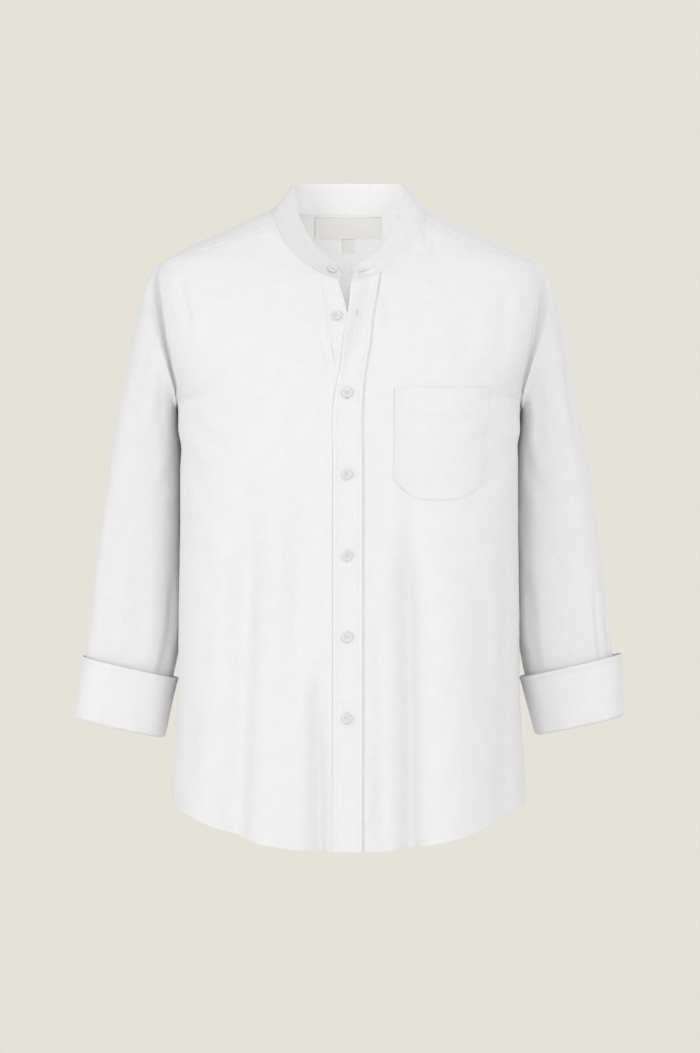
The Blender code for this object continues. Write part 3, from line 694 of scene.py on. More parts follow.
def front_inner_edge(side_name):
    """The front's edge up its band's seam and along the neck to the yoke: x and z, row by row."""
    corner = seam_x(side_name, band_top_z(side_name))
    neck_rows = ARMHOLE_STEPS // 2 - YOKE_TURN - BAND_ROWS + 2
    at_neck = np.linspace(corner, neck_x(YOKE_NECK_Z[side_name]), neck_rows)[1:]
    inner_z = np.append(band_side_heights(side_name), neck_z(at_neck))
    inner_x = np.append(seam_x(side_name, band_side_heights(side_name)), at_neck)
    if side_name == "left":
        inner_x = inner_x - underlap(len(inner_z))
    return inner_x, inner_z


def front_panel(side_name):
    """A front, from its band's seam to the side seam and the armhole."""
    inner_x, inner_z = front_inner_edge(side_name)
    turns = np.arange(ARMHOLE_STEPS // 2 - 1, YOKE_TURN - 1, -1)
    armhole_angle, armhole_z = armhole(armhole_turn(turns))
    side_z = mix(SIDE_HEM_Z, ARMPIT_Z, ROW_SHARES)
    outer_z = np.append(side_z, armhole_z)
    outer_angle = np.append(np.full(side_z.shape, math.pi / 2), armhole_angle)
    share = np.linspace(0, 1, 200)[None, :]
    angles = mix(angle_at(inner_x, inner_z)[:, None], outer_angle[:, None], share)
    z = mix(inner_z[:, None], outer_z[:, None], share)
    below_seam = np.arange(len(inner_z))[::-1, None]
    takes_line = ease(1 - below_seam / YOKE_BLEND)
    line_angles, line_z = yoke_line(side_name, 0)
    angles = angles + takes_line * (line_angles - mix(line_angles[0], line_angles[-1], share))
    z = z + takes_line * (line_z - mix(line_z[0], line_z[-1], share))
    x = body_x(angles, z)
    z = z + ease(1 - up_side(len(inner_z))) * (hem_z(x) - mix(hem_z(0), SIDE_HEM_Z, share))
    sink = 0
    if side_name == "right":
        sink = STAND_SINK * (1 - ease((x - STAND_SINK_REACH[0]) / np.ptp(STAND_SINK_REACH)))
    surface = worn_body(SIDES[side_name] * angles, z, sink)
    grid = np.array([at_shares(row, SEAM_SHARES) for row in surface])
    return grid if side_name == "left" else grid[:, ::-1]


def back_panel():
    """The back, from the hem to the yoke's back seam, and from armhole to armhole."""
    turns = armhole_turn(-np.arange(ARMHOLE_STEPS // 2, BACK_YOKE_TURN - 1, -1))
    armhole_angle, armhole_z = armhole(turns)
    low_z = mix(SIDE_HEM_Z, ARMPIT_Z, ROW_SHARES)[:-1]
    outer_z = np.concatenate([low_z, armhole_z])[:, None]
    outer_angle = np.concatenate([np.full(low_z.shape, math.pi / 2), armhole_angle])[:, None]
    share = np.linspace(-1, 1, 360)[None, :]
    angles = math.pi + share * (math.pi - outer_angle)
    z = outer_z + 0 * share
    hemmed = ease(1 - up_side(len(outer_z))) * (hem_z(body_x(angles, z)) - SIDE_HEM_Z)
    surface = worn_body(angles, z + hemmed)
    shares = spaced(BACK_WIDTH, BACK_STEPS + 1)
    return np.array([at_shares(row, shares) for row in surface])


def half_yoke(side_name):
    """Half of the yoke, over one shoulder, from the front seam to the centre back."""
    edge_angles, edge_z = armhole(armhole_turn(-np.arange(BACK_YOKE_TURN + 1)))
    share = np.linspace(0, 1, 200)
    back_angles = mix(edge_angles[-1], math.pi, share)
    path = np.column_stack([worn_body(back_angles, edge_z[-1]), back_angles])
    across = at_shares(path, np.linspace(0, 1, BACK_STEPS // 2 + 1))[1:, 3]
    outer_angles = np.concatenate([edge_angles, across])
    outer_z = np.concatenate([edge_z, np.full(across.shape, edge_z[-1])])
    neck_angles = np.linspace(math.pi / 2, math.pi, len(outer_angles))
    lines = [yoke_line(side_name, beside) for beside in np.linspace(0, 1, YOKE_FRONT_LINES + 1)[:-1] ** 1.6]
    for angle_in, angle_out, z_out in zip(neck_angles, outer_angles, outer_z):
        lines.append((mix(angle_in, angle_out, share), mix(NECK_TOP, z_out, share)))
    side = SIDES[side_name]
    columns = [at_shares(worn_body(side * angles, z), SEAM_SHARES) for angles, z in lines]
    grid = np.array(columns)[:, ::-1].transpose(1, 0, 2)
    return grid if side > 0 else grid[:, ::-1]


def yoke():
    """The yoke, from the left front seam over both shoulders to the right one."""
    return np.concatenate([half_yoke("left"), half_yoke("right")[:, 1:]], axis=1)


def band_lift(side_name, share):
    """How far a front band stands off the front, from its free edge at 0 to its seam at 1."""
    return mix(*BAND_LIFT, share) if side_name == "left" else -STAND_SINK + 0 * share


def front_band(side_name):
    """A front band's strip, from the hem to the neck."""
    share = spaced(BAND_WIDTH, BAND_COLUMNS)[None, :]
    top = np.zeros(share.shape)
    for _ in range(8):
        ends = [between(BANDS, side_name + column, top[0]) for column in ("_edge", "_seam")]
        top = neck_z(mix(ends[0], ends[1], share))
    rows = band_side_heights(side_name)[:, None]
    z = mix(hem_z(0), top, (rows - rows[0]) / np.ptp(rows))
    edge = between(BANDS, side_name + "_edge", z)
    seam = between(BANDS, side_name + "_seam", z)
    strip = on_front(mix(edge, seam, share), z, band_lift(side_name, share + 0 * z))
    return strip if side_name == "left" else strip[:, ::-1]


def collar_point(turn, up):
    """The collar at an angle round the neck from the centre front, and a share of its height."""
    ahead, across = np.cos(turn), np.abs(np.sin(turn))
    side = np.where(np.sin(turn) < 0, -1, 1)
    front = ahead > 0
    bend = np.where(front, 2 / NECK_POWER, 2 / BODY["power"][-2])
    low_x = NECK_HALF_WIDTH * across**bend
    low_z = NECK_TOP - NECK_DROP * np.where(front, np.abs(ahead) ** bend, 0)
    low_front_y = on_front(side * low_x, low_z)[..., 1]
    low_back_y = between(BODY, "back", NECK_TOP) * np.abs(ahead) ** bend
    low_y = np.where(front, low_front_y, low_back_y)
    top_x = COLLAR_TOP_HALF_WIDTH * across**bend
    drop = np.where(front, COLLAR_TOP_DROP * np.abs(ahead) ** bend, -COLLAR_BACK_RISE * np.abs(ahead))
    top_z = COLLAR_TOP_Z - drop
    top_y = np.where(front, -COLLAR_TOP_FRONT, COLLAR_TOP_BACK) * np.abs(ahead)
    low = np.stack([side * low_x, low_y, low_z], axis=-1)
    top = np.stack([side * top_x, top_y, top_z], axis=-1)
    return mix(low, top, np.asarray(up)[..., None])


def half_collar(side_name):
    """Angles round the neck of the collar's lines, from its end to the back, and how high each goes."""
    end = math.asin((COLLAR_END_X[side_name] / NECK_HALF_WIDTH) ** (NECK_POWER / 2))
    turns = np.linspace(end, math.pi, 700)
    edge = collar_point(turns, np.ones(700))
    along = along_path(edge)
    radius = COLLAR_END_RADIUS
    at = np.append(np.linspace(0, radius, 17)[:-1], np.linspace(radius, along[-1], COLLAR_COLUMNS))
    lost = radius - np.sqrt(radius**2 - np.clip(radius - at, 0, None) ** 2)
    height = np.linalg.norm(collar_point(end, 1) - collar_point(end, 0))
    return np.interp(at, along, turns), 1 - lost / height


def collar_sink(grid, degrees, percent):
    """How far the collar's wrinkles and crumple push its points in."""
    return crease_depth(rows_of(COLLAR_CREASES), degrees, percent) + COLLAR_CRUMPLE * crumple(grid)


def collar():
    """The stand collar, from its left end round the back of the neck to its right end."""
    left, left_full = half_collar("left")
    right, right_full = half_collar("right")
    turn = np.append(left, (math.tau - right)[::-1][1:])[None, :]
    full = np.append(left_full, right_full[::-1][1:])[None, :]
    up = spaced(COLLAR_HEIGHT, COLLAR_ROWS)[:, None] * full
    grid = collar_point(turn + 0 * up, up)
    return grid - collar_sink(grid, np.degrees(turn) + 0 * up, 100 * up)[..., None] * normals(grid)


def ring_turns():
    """Turns round a sleeve or cuff, one for each step of the armhole."""
    return armhole_turn(np.arange(ARMHOLE_STEPS))[None, :]


def ring_shape(turn):
    """A sleeve's section: from -1 to 1 outward, and ahead."""
    return [power(wave(turn), 2 / SLEEVE_POWER) for wave in (np.cos, np.sin)]


def sleeve_point(turn, along, side):
    """A sleeve's outside, as if it were the left one. turn goes from its outer side to its front."""
    turn, along = np.broadcast_arrays(np.asarray(turn, float), np.asarray(along, float))
    at = {name: between(SLEEVE, name, along) for name in list(SLEEVE)[1:]}
    first = {name: SLEEVE[name][0] for name in at}
    out, ahead = ring_shape(turn)

    def ring_of(sizes):
        x = mix(sizes["inner_x"], sizes["outer_x"], (1 + out) / 2)
        z = mix(sizes["inner_z"], sizes["outer_z"], (1 + out) / 2)
        y = sizes["y"] + sizes["skew"] * (1 - out) / 2 - sizes["half_depth"] * ahead
        return np.stack([x, y, z], axis=-1)

    angle, height = armhole(turn[:1])
    edge = worn_body(side * angle, height) * (side, 1, 1)
    ring = ring_of(at) + (edge - ring_of(first)) * (1 - ease(along / ARMHOLE_FADE))[..., None]
    degrees = np.degrees(turn) % 360
    nearness = ease(along / TUCK_MIDDLE) * (1 - ease((along - TUCK_MIDDLE) / TUCK_REACH))
    tuck = between(TUCK, "depth", degrees) * nearness
    return ring + np.stack([-0.45 * out * tuck, ahead * tuck, 0 * tuck], axis=-1)


def sleeve(side):
    """A sleeve, from the armhole to where its cuff covers it."""
    along = SLEEVE_LENGTH * spaced(SLEEVE_LENGTH, SLEEVE_ROWS, True, False)[:, None]
    turn = ring_turns()
    ring = sleeve_point(turn, along, side)
    across = ACROSS_PER_DEGREE * ((np.degrees(turn) + 180) % 360 - 180)
    creases = of_side(SLEEVE_CREASES, "side", side)
    creased = crease_depth(creases, across + 0 * along, along + 0 * turn)
    sewn_in = ease(along / 10)
    eased_in = 0.8 * noise(ring * (1.6, 1.6, 0.5), 13) * np.exp(-along / 16)
    depth = sewn_in * (creased + SLEEVE_CRUMPLE * crumple(ring * (side, 1, 1)) + eased_in)
    ring = (ring - depth[..., None] * normals(ring, True)) * (side, 1, 1)
    return ring if side > 0 else ring[:, ::-1]


def cuff(side):
    """A turned-back cuff: down inside from the sleeve's end, round the fold, and up outside."""
    row = next(row for row in rows_of(CUFF) if row["side"] == side)
    turn = ring_turns()
    out, ahead = ring_shape(turn)

    def ring(height, inset):
        """height is 0 at the fold and 1 at the top edge, and inset is towards the cuff's middle."""
        half = mix(row["fold_half"], row["top_half"], height) - inset
        deep = mix(row["fold_depth"], row["top_depth"], height) - inset
        x = mix(row["fold_x"], row["top_x"], height) + half * out * math.cos(CUFF_TILT)
        z = mix(row["fold_z"], row["top_z"], height) + half * out * math.sin(CUFF_TILT)
        y = CUFF_Y + CUFF_SKEW * (1 - out) / 2 - deep * ahead
        return np.stack([x, y, z], axis=-1)

    length = math.hypot(row["top_x"] - row["fold_x"], row["top_z"] - row["fold_z"])
    radius = CUFF_FOLD_RADIUS
    inner = ring(0, 2 * radius)
    start = sleeve_point(turn, np.full(turn.shape, float(SLEEVE_LENGTH)), side)
    start = start + CLOTH * unit(start.mean(axis=1, keepdims=True) - start)
    layers = [mix(start, inner, share) for share in np.linspace(0, 1, CUFF_INSIDE_ROWS)]
    for bend in np.radians(np.linspace(20, 160, CUFF_FOLD_ROWS)):
        layers.append(ring(-radius * math.sin(bend) / length, radius + radius * math.cos(bend)))
    layers += [ring(height, 0) for height in spaced(length, 34)]
    grid = np.concatenate(layers)[:, ::-1]
    grid = grid - CUFF_CRUMPLE * crumple(grid * (side, 1, 1))[..., None] * normals(grid, True)
    return grid if side > 0 else (grid * (-1, 1, 1))[:, ::-1]


def pocket():
    """The patch pocket, from its rounded foot to its mouth."""
    across = 2 * spaced(POCKET_SIZE[0], 52)[None, :] - 1
    at_hem = 1 - (POCKET_HEM + np.linspace(-2.8, 3.4, 13)) / POCKET_SIZE[1]
    up = np.unique(np.append(spaced(POCKET_SIZE[1], 60), at_hem))[:, None]
    foot = POCKET_CORNER_Z - (POCKET_CORNER_Z - POCKET_FOOT) * (1 - np.abs(across) ** POCKET_POWER)
    z = mix(foot, POCKET_TOP, up)
    x = mix(POCKET_MIDDLE[1], POCKET_MIDDLE[0], up) + mix(*POCKET_HALF_WIDTH[::-1], up) * across
    return on_front(x, z, POCKET_LIFT)


def patch_inside_back(left, right, foot, top, depth):
    """A flat patch on the inside of the yoke, facing forward."""
    x = mix(left, right, spaced(right - left, 40))[None, :]
    z = mix(foot, top, spaced(top - foot, 24))[:, None]
    return on_front(x, z, -depth, inside_out=True)


# ---- seams, hems and their stitches ----


def normals(grid, ring=False):
    """Outward directions of a grid's points."""
    if ring:
        across = np.roll(grid, -1, axis=1) - np.roll(grid, 1, axis=1)
    else:
        across = np.gradient(grid, axis=1)
    return unit(np.cross(across, np.gradient(grid, axis=0)))


def distance_from(grid, border):
    """How far each point of a grid is from its foot, top, start or end, along the cloth."""
    axis = 0 if border in ("foot", "top") else 1
    steps = np.linalg.norm(np.diff(grid, axis=axis), axis=-1)
    first = np.zeros_like(steps.take([0], axis=axis))
    along = np.cumsum(np.concatenate([first, steps], axis=axis), axis=axis)
    return along if border in ("foot", "start") else along.take([-1], axis=axis) - along


def finished(grid, edges, ring=False):
    """The grid with its edges worked: each is a border, how it is finished, and its stitches' distance."""
    lift = np.zeros(grid.shape[:2])
    for border, finish, line in edges:
        distance = distance_from(grid, border)
        if finish == "beside":
            lift -= BESIDE_BAND * bump_at(distance - line - 1.0, 1.0)
            continue
        fading = np.exp(-distance / PUCKER_SIZE) * ease(distance / 3)
        lift -= PUCKER * noise(1.4 * grid, PUCKER_SIZE) * fading
        if finish == "under":
            lift -= GROOVE * bump_at(distance, 1.3)
            continue
        rise = HEM_RISE * (1 - ease((distance - line - 0.7) / HEM_STEP))
        if finish == "seam":
            lift -= GROOVE * bump_at(distance, 1.1)
            rise = rise * ease(distance / 1.8)
        lift += rise - STITCH_DIMPLE * bump_at(distance - line, 0.9)
    return grid + lift[..., None] * normals(grid, ring)


def line_beside(grid, border, distance, ring=False):
    """Points of a line beside a border of the grid, with the surface's outward directions after them."""
    both = np.concatenate([grid, normals(grid, ring)], axis=-1)
    if border in ("foot", "top"):
        both = both.swapaxes(0, 1)
    if border in ("end", "top"):
        both = both[:, ::-1]
    line = []
    for row in both:
        along = along_path(row)
        line.append([np.interp(distance, along, column) for column in row.T])
    if ring:
        line.append(line[0])
    return np.array(line)


def capsule():
    """A stitch one long and one thick, as points and faces, its ends dipping into the cloth."""
    sides = CAPSULE_SIDES
    points = [(-0.5, 0, -0.9)]
    for x, thick, z in ((-0.36, 0.8, -0.35), (0, 1, 0), (0.36, 0.8, -0.35)):
        for s in range(sides):
            turn = math.tau * s / sides
            points.append((x, thick * math.cos(turn), z + thick * math.sin(turn)))
    points.append((0.5, 0, -0.9))
    faces = []
    for s in range(sides):
        t = (s + 1) % sides
        faces.append((0, 1 + t, 1 + s))
        for ring in (0, sides):
            faces.append((1 + ring + s, 1 + ring + t, 1 + ring + sides + t))
            faces.append((1 + ring + s, 1 + ring + sides + t, 1 + ring + sides + s))
        faces.append((len(points) - 1, 1 + 2 * sides + s, 1 + 2 * sides + t))
    return np.array(points), np.array(faces)


def stitch_places(line):
    """Middles, directions and outward directions of the stitches along a line."""
    length = along_path(line)[-1]
    count = max(int(length / STITCH_PITCH), 1)
    middles = at_shares(line, (np.arange(count) + 0.5) / count)
    ahead = at_shares(line, np.clip((np.arange(count) + 0.6) / count, 0, 1))[:, :3]
    behind = at_shares(line, np.clip((np.arange(count) + 0.4) / count, 0, 1))[:, :3]
    return middles[:, :3], unit(ahead - behind), unit(middles[:, 3:6])


def stitch_mesh(places, length=STITCH_LENGTH, radius=THREAD_RADIUS, proud=0.1):
    """Points and faces of all the stitches at those places."""
    middles, direction, out = places
    shape, faces = capsule()
    side = np.cross(out, direction)
    points = (
        middles[:, None]
        + length * shape[None, :, :1] * direction[:, None]
        + radius * shape[None, :, 1:2] * side[:, None]
        + (proud + radius * shape[None, :, 2:]) * out[:, None]
    )
    offsets = np.arange(len(middles))[:, None, None] * len(shape)
    return points.reshape(-1, 3), (faces[None] + offsets).reshape(-1, 3)


def joined(parts):
    """One set of points and faces out of several."""
    points, faces, before = [], [], 0
    for part_points, part_faces in parts:
        points.append(part_points)
        faces.append(part_faces + before)
        before += len(part_points)
    return np.concatenate(points), np.concatenate(faces)


# ---- materials ----


class Shading:
    """A Principled material and short ways to add nodes to it."""

    def __init__(self, name, colour, roughness):
        self.material = bpy.data.materials.new(name)
        self.material.use_nodes = True
        self.nodes = self.material.node_tree.nodes
        self.link = self.material.node_tree.links.new
        self.shader = self.nodes["Principled BSDF"]
        self.shader.inputs["Base Color"].default_value = (*colour, 1)
        self.shader.inputs["Roughness"].default_value = roughness

    def node(self, kind, **inputs):
        """A new node with those values in its sockets."""
        made = self.nodes.new(kind)
        for name, value in inputs.items():
            made.inputs[name.replace("_", " ")].default_value = value
        return made

    def coordinates(self, output, scale):
        """Texture coordinates scaled by (x, y, z)."""
        source = self.node("ShaderNodeTexCoord")
        scaled = self.node("ShaderNodeMapping", Scale=scale)
        self.link(source.outputs[output], scaled.inputs["Vector"])
        return scaled.outputs["Vector"]

    def noise(self, output, scale, detail, rough=0.5):
        """A noise over those coordinates, so many bumps to the metre."""
        made = self.node("ShaderNodeTexNoise", Scale=1.0, Detail=detail, Roughness=rough)
        self.link(self.coordinates(output, scale), made.inputs["Vector"])
        return made.outputs["Fac"]

    def math(self, operation, a, b):
        """An operation on two sockets or numbers."""
        made = self.nodes.new("ShaderNodeMath")
        made.operation = operation
        for socket, value in zip(made.inputs, (a, b)):
            if isinstance(value, (int, float)):
                socket.default_value = value
            else:
                self.link(value, socket)
        return made.outputs[0]

    def between(self, value, low, high):
        """The value, from 0.3 to 0.7 in a noise, spread between low and high."""
        made = self.node("ShaderNodeMapRange", From_Min=0.3, From_Max=0.7, To_Min=low, To_Max=high)
        self.link(value, made.inputs["Value"])
        return made.outputs["Result"]

    def colour(self, value, dark, light):
        """The base colour, from dark where the value is 0 to light where it is 1."""
        made = self.nodes.new("ShaderNodeMix")
        made.data_type = "RGBA"
        made.inputs[6].default_value = (*dark, 1)
        made.inputs[7].default_value = (*light, 1)
        self.link(value, made.inputs[0])
        self.link(made.outputs[2], self.shader.inputs["Base Color"])

    def roughness(self, value):
        """The shader's roughness, from a socket."""
        self.link(value, self.shader.inputs["Roughness"])

    def bump(self, height, distance):
        """Bump of that height, in metres."""
        made = self.node("ShaderNodeBump", Strength=1.0, Distance=distance)
        self.link(height, made.inputs["Height"])
        self.link(made.outputs["Normal"], self.shader.inputs["Normal"])


def weave(shading, pitch):
    """Height of a plain weave of that pitch, on UVs in metres."""
    place = shading.coordinates("UV", (1 / pitch, 1 / pitch, 1))
    split = shading.node("ShaderNodeSeparateXYZ")
    shading.link(place, split.inputs[0])
    waves = []
    for axis in ("X", "Y"):
        turned = shading.math("MULTIPLY", split.outputs[axis], math.tau)
        waves.append(shading.math("SINE", turned, 0.0))
    return shading.math("MULTIPLY", *waves)


def linen(name):
    """White slubby linen: uneven threads both ways, a soft mottling, and a matt nap."""
    cloth = Shading(name, (0.87, 0.872, 0.875), 0.88)
    cloth.shader.inputs["Specular IOR Level"].default_value = 0.3
    cloth.shader.inputs["Sheen Weight"].default_value = 0.12
    cloth.shader.inputs["Sheen Roughness"].default_value = 0.5
    warp = cloth.noise("UV", (700, 34, 1), 3.0, 0.6)
    weft = cloth.noise("UV", (30, 620, 1), 3.0, 0.6)
    patches = cloth.noise("Object", (60, 60, 46), 3.0, 0.6)
    slubs = cloth.math("ADD", warp, weft)
    shade = cloth.math("MULTIPLY", cloth.math("ADD", slubs, patches), 1 / 3)
    cloth.colour(cloth.between(shade, 0, 1), (0.835, 0.838, 0.845), (0.905, 0.905, 0.9))
    cloth.roughness(cloth.between(slubs, 0.95, 0.84))
    threads = cloth.math("MULTIPLY", weave(cloth, 0.00075), 0.5)
    uneven = cloth.math("MULTIPLY", slubs, 1.4)
    cloth.bump(cloth.math("ADD", threads, uneven), 0.00012)
    return cloth.material


def thread(name):
    """White sewing thread, twisted."""
    cotton = Shading(name, (0.86, 0.86, 0.855), 0.7)
    cotton.shader.inputs["Sheen Weight"].default_value = 0.1
    fuzz = cotton.noise("Object", (2600, 2600, 2600), 2.0)
    cotton.colour(cotton.between(fuzz, 0, 1), (0.80, 0.80, 0.795), (0.89, 0.89, 0.885))
    cotton.bump(fuzz, 0.00006)
    return cotton.material


def shell(name):
    """Off-white button shell, polished, with a faint swirl."""
    nacre = Shading(name, (0.80, 0.79, 0.76), 0.3)
    nacre.shader.inputs["Coat Weight"].default_value = 0.35
    nacre.shader.inputs["Coat Roughness"].default_value = 0.15
    swirl = nacre.noise("Object", (260, 190, 420), 4.0, 0.55)
    nacre.colour(nacre.between(swirl, 0, 1), (0.70, 0.69, 0.66), (0.83, 0.82, 0.80))
    nacre.roughness(nacre.between(swirl, 0.24, 0.38))
    nacre.bump(swirl, 0.00005)
    return nacre.material


def tape(name):
    """Woven label tape: a fine rib across a satin ground."""
    band = Shading(name, (0.84, 0.83, 0.80), 0.6)
    band.shader.inputs["Sheen Weight"].default_value = 0.2
    ribs = weave(band, 0.0005)
    uneven = band.noise("UV", (40, 900, 1), 2.0)
    band.colour(band.between(uneven, 0, 1), (0.85, 0.835, 0.79), (0.91, 0.895, 0.85))
    band.roughness(band.between(uneven, 0.66, 0.5))
    band.bump(band.math("ADD", ribs, uneven), 0.00008)
    return band.material


def shadow_gap(name):
    """Painted shade for a buttonhole's slit: a dark grey sheet, mottled like the cloth's raw threads."""
    slit = Shading(name, (0.42, 0.415, 0.405), 0.95)
    frayed_shade = slit.noise("Object", (1800, 1800, 900), 3.0)
    slit.colour(slit.between(frayed_shade, 0, 1), (0.33, 0.325, 0.315), (0.55, 0.545, 0.535))
    slit.bump(frayed_shade, 0.0001)
    return slit.material


# ---- objects ----


def quads(values):
    """The four corners of each square of a grid, going round it: their numbers, or their places."""
    low, high = values[:-1], values[1:]
    return np.stack([low[:, :-1], low[:, 1:], high[:, 1:], high[:, :-1]], axis=2)


def numbered(grid):
    """A number for every point of a grid, row by row."""
    rows, columns = grid.shape[:2]
    return np.arange(rows * columns).reshape(rows, columns)


def closed(values):
    """A ring's columns, with the first one again at the end."""
    return np.concatenate([values, values[:, :1]], axis=1)


def mesh_of(name, points, faces):
    """A Blender mesh of points in millimetres."""
    mesh = bpy.data.meshes.new(name)
    mesh.from_pydata((points * MM).tolist(), [], faces.tolist())
    return mesh


def grid_mesh(name, grid, ring=False, origin=(0, 0)):
    """A mesh of a grid's squares, its UVs in metres along the cloth from the origin's row and column."""
    number = numbered(grid)
    across = distance_from(grid, "start") * MM
    up = distance_from(grid, "foot") * MM
    across = across - across[:, [origin[1]]]
    up = up - up[[origin[0]]]
    if ring:
        closing = np.linalg.norm(grid[:, :1] - grid[:, -1:], axis=-1) * MM
        across = np.concatenate([across, across[:, -1:] + closing], axis=1)
        number, up = closed(number), closed(up)
    mesh = mesh_of(name, grid.reshape(-1, 3), quads(number).reshape(-1, 4))
    places = quads(np.stack([across, up], axis=-1)).astype(np.float32)
    mesh.uv_layers.new(name="UVMap").uv.foreach_set("vector", places.ravel())
    return mesh


def add(name, mesh, finish):
    """Puts a mesh in the scene, as a piece that rides with the shirt."""
    mesh.materials.append(finish)
    mesh.shade_smooth()
    piece = bpy.data.objects.new(name, mesh)
    bpy.context.scene.collection.objects.link(piece)
    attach(piece, "root")
    return piece


def sheet(node, grid, finish, wall, ring=False, origin=(0, 0)):
    """A cloth piece in place of its CAD node, with a wall on the inner side and rounded edges."""
    piece = add(node + "_cloth", grid_mesh(node + "_cloth", grid, ring, origin), finish)
    thicken = piece.modifiers.new("wall", "SOLIDIFY")
    thicken.thickness = wall * MM
    thicken.offset = -1
    rounded = piece.modifiers.new("rounded", "BEVEL")
    rounded.width = 0.35 * wall * MM
    rounded.segments = 2
    rounded.limit_method = "ANGLE"
    rounded.angle_limit = math.radians(55)
    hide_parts(node)
    return piece


def declare(grid, with_pieces=(), ring=False):
    """Works out what size a piece was cut to: its widest row, its longest column, and its area. Nothing is
    recorded or returned.
    """
    whole = closed(grid) if ring else grid
    widths = np.linalg.norm(np.diff(whole, axis=1), axis=-1)
    lengths = np.linalg.norm(np.diff(whole, axis=0), axis=-1)
    flat = (widths.sum(axis=1).max() * MM, lengths.sum(axis=0).max() * MM)
    diagonals = whole[1:, 1:] - whole[:-1, :-1], whole[1:, :-1] - whole[:-1, 1:]
    area = np.linalg.norm(np.cross(*diagonals), axis=-1).sum() / 2 * MM**2
    area = min(area, flat[0] * flat[1])


def stitched(grid, *edges, ring=False):
    """The stitches along a grid's edges, each a border and how far the stitches are from it."""
    lines = [line_beside(grid, border, distance, ring) for border, distance in edges]
    return [stitch_mesh(stitch_places(line)) for line in lines]


def stitching(name, parts, finish):
    """One object of all the stitches of a piece."""
    return add(name, mesh_of(name, *joined(parts)), finish)


# ---- buttons and buttonholes ----


def button_mesh(name):
    """A round four-hole button with a raised rim and a dished middle, its underside at z 0."""
    flat_radius = BUTTON_RADIUS - BUTTON_EDGE
    round_edge = BUTTON_RADIUS - BUTTON_EDGE * np.cos(np.linspace(0.25, 1, 5) * math.pi / 2)
    radii = np.append(np.linspace(0, flat_radius, 34), round_edge)
    turns = np.linspace(0, math.tau, 64, endpoint=False)
    r, t = np.meshgrid(radii, turns, indexing="ij")
    rim = ease((r - (BUTTON_RADIUS - BUTTON_RIM - 0.8)) / 0.8)
    height = BUTTON_THICKNESS - BUTTON_DISH * (1 - rim) - 0.2 * bump_at(r - BUTTON_RADIUS + 0.3, 0.5)
    over_edge = np.clip(r - flat_radius, 0, BUTTON_EDGE) / BUTTON_EDGE
    height = height - 1.1 * (1 - np.sqrt(1 - over_edge**2))
    x, y = r * np.cos(t), r * np.sin(t)
    for hole_x, hole_y in product((-BUTTON_HOLE, BUTTON_HOLE), repeat=2):
        from_hole = np.hypot(x - hole_x, y - hole_y)
        height = height - (1 - ease((from_hole - 0.34) / 0.26))
    top = np.stack([x, y, height], axis=-1)
    under = np.stack([x[-1:] * 0.86, y[-1:] * 0.86, 0 * height[-1:]], axis=-1)
    grid = np.concatenate([np.zeros_like(under), under, top[::-1]])
    return grid_mesh(name, grid, True)


def thread_bars(seat, upright):
    """The two threads that cross a button's middle, two strands in each."""
    parts = []
    for hole_y, beside in product((-BUTTON_HOLE, BUTTON_HOLE), (-0.2, 0.2)):
        middle = np.array([[0, hole_y + beside, BUTTON_THICKNESS - 0.62]])
        places = (middle, np.array([[1.0, 0, 0]]), np.array([[0, 0, 1.0]]))
        parts.append(stitch_mesh(places, 2.3, 0.24, 0))
    points, faces = joined(parts)
    return points @ upright.T + seat, faces


def button(name, seat, towards, turn, finish):
    """A button on its seat, facing towards. Returns its thread's points and faces."""
    upright = Vector(towards).to_track_quat("Z", "Y").to_matrix() @ Matrix.Rotation(turn, 3, "Z")
    mesh = button_mesh(name + "_shell")
    mesh.transform(Matrix.Translation(Vector(seat) * MM) @ upright.to_4x4())
    piece = add(name + "_shell", mesh, finish)
    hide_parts(name)
    return thread_bars(np.array(seat), np.array(upright))


def buttonhole(surface, u, v, long, wide, lean):
    """Satin stitches round a slit, and a sheet of painted shade in the slit, on a surface given by u across
    and v up.
    """
    facing = outward(surface, u, v, FACING_STEP)
    turns = np.linspace(0, math.tau, RIM_STITCHES, endpoint=False)
    along = (long / 2) * power(np.cos(turns), 0.35)
    aside = (wide / 2) * power(np.sin(turns), 0.9)
    x = u + along * math.cos(lean) - aside * math.sin(lean)
    z = v + along * math.sin(lean) + aside * math.cos(lean)
    middles = surface(x, z)
    out = np.repeat([facing], RIM_STITCHES, axis=0)
    spoke_x, spoke_z = -np.sin(turns) * math.sin(lean), np.sin(turns) * math.cos(lean)
    direction = surface(x + 0.5 * spoke_x + 0.01, z + 0.5 * spoke_z) - middles
    direction -= (direction * out).sum(axis=1, keepdims=True) * out
    rim = stitch_mesh((middles, unit(direction), out), 1.5, 0.22, 0.12)
    # The slit: a thin sheet just above the cloth that carries the painted shade of the cut.
    ends = np.linspace(-1, 1, 15)
    slit_x = u + 0.46 * long * ends * math.cos(lean)
    slit_z = v + 0.46 * long * ends * math.sin(lean)
    half = 0.34 * np.sqrt(np.clip(1 - ends**2, 0, 1)) + 0.02
    across, up = half * math.sin(lean), half * math.cos(lean)
    edges = [surface(slit_x + side * across, slit_z - side * up) + 0.12 * facing for side in (1, -1)]
    return rim, np.stack(edges)


def on_placket(x, z):
    """A point of the placket's outside."""
    edge, seam = [between(BANDS, column, z) for column in ("left_edge", "left_seam")]
    return on_front(x, z, band_lift("left", (x - edge) / (seam - edge)))


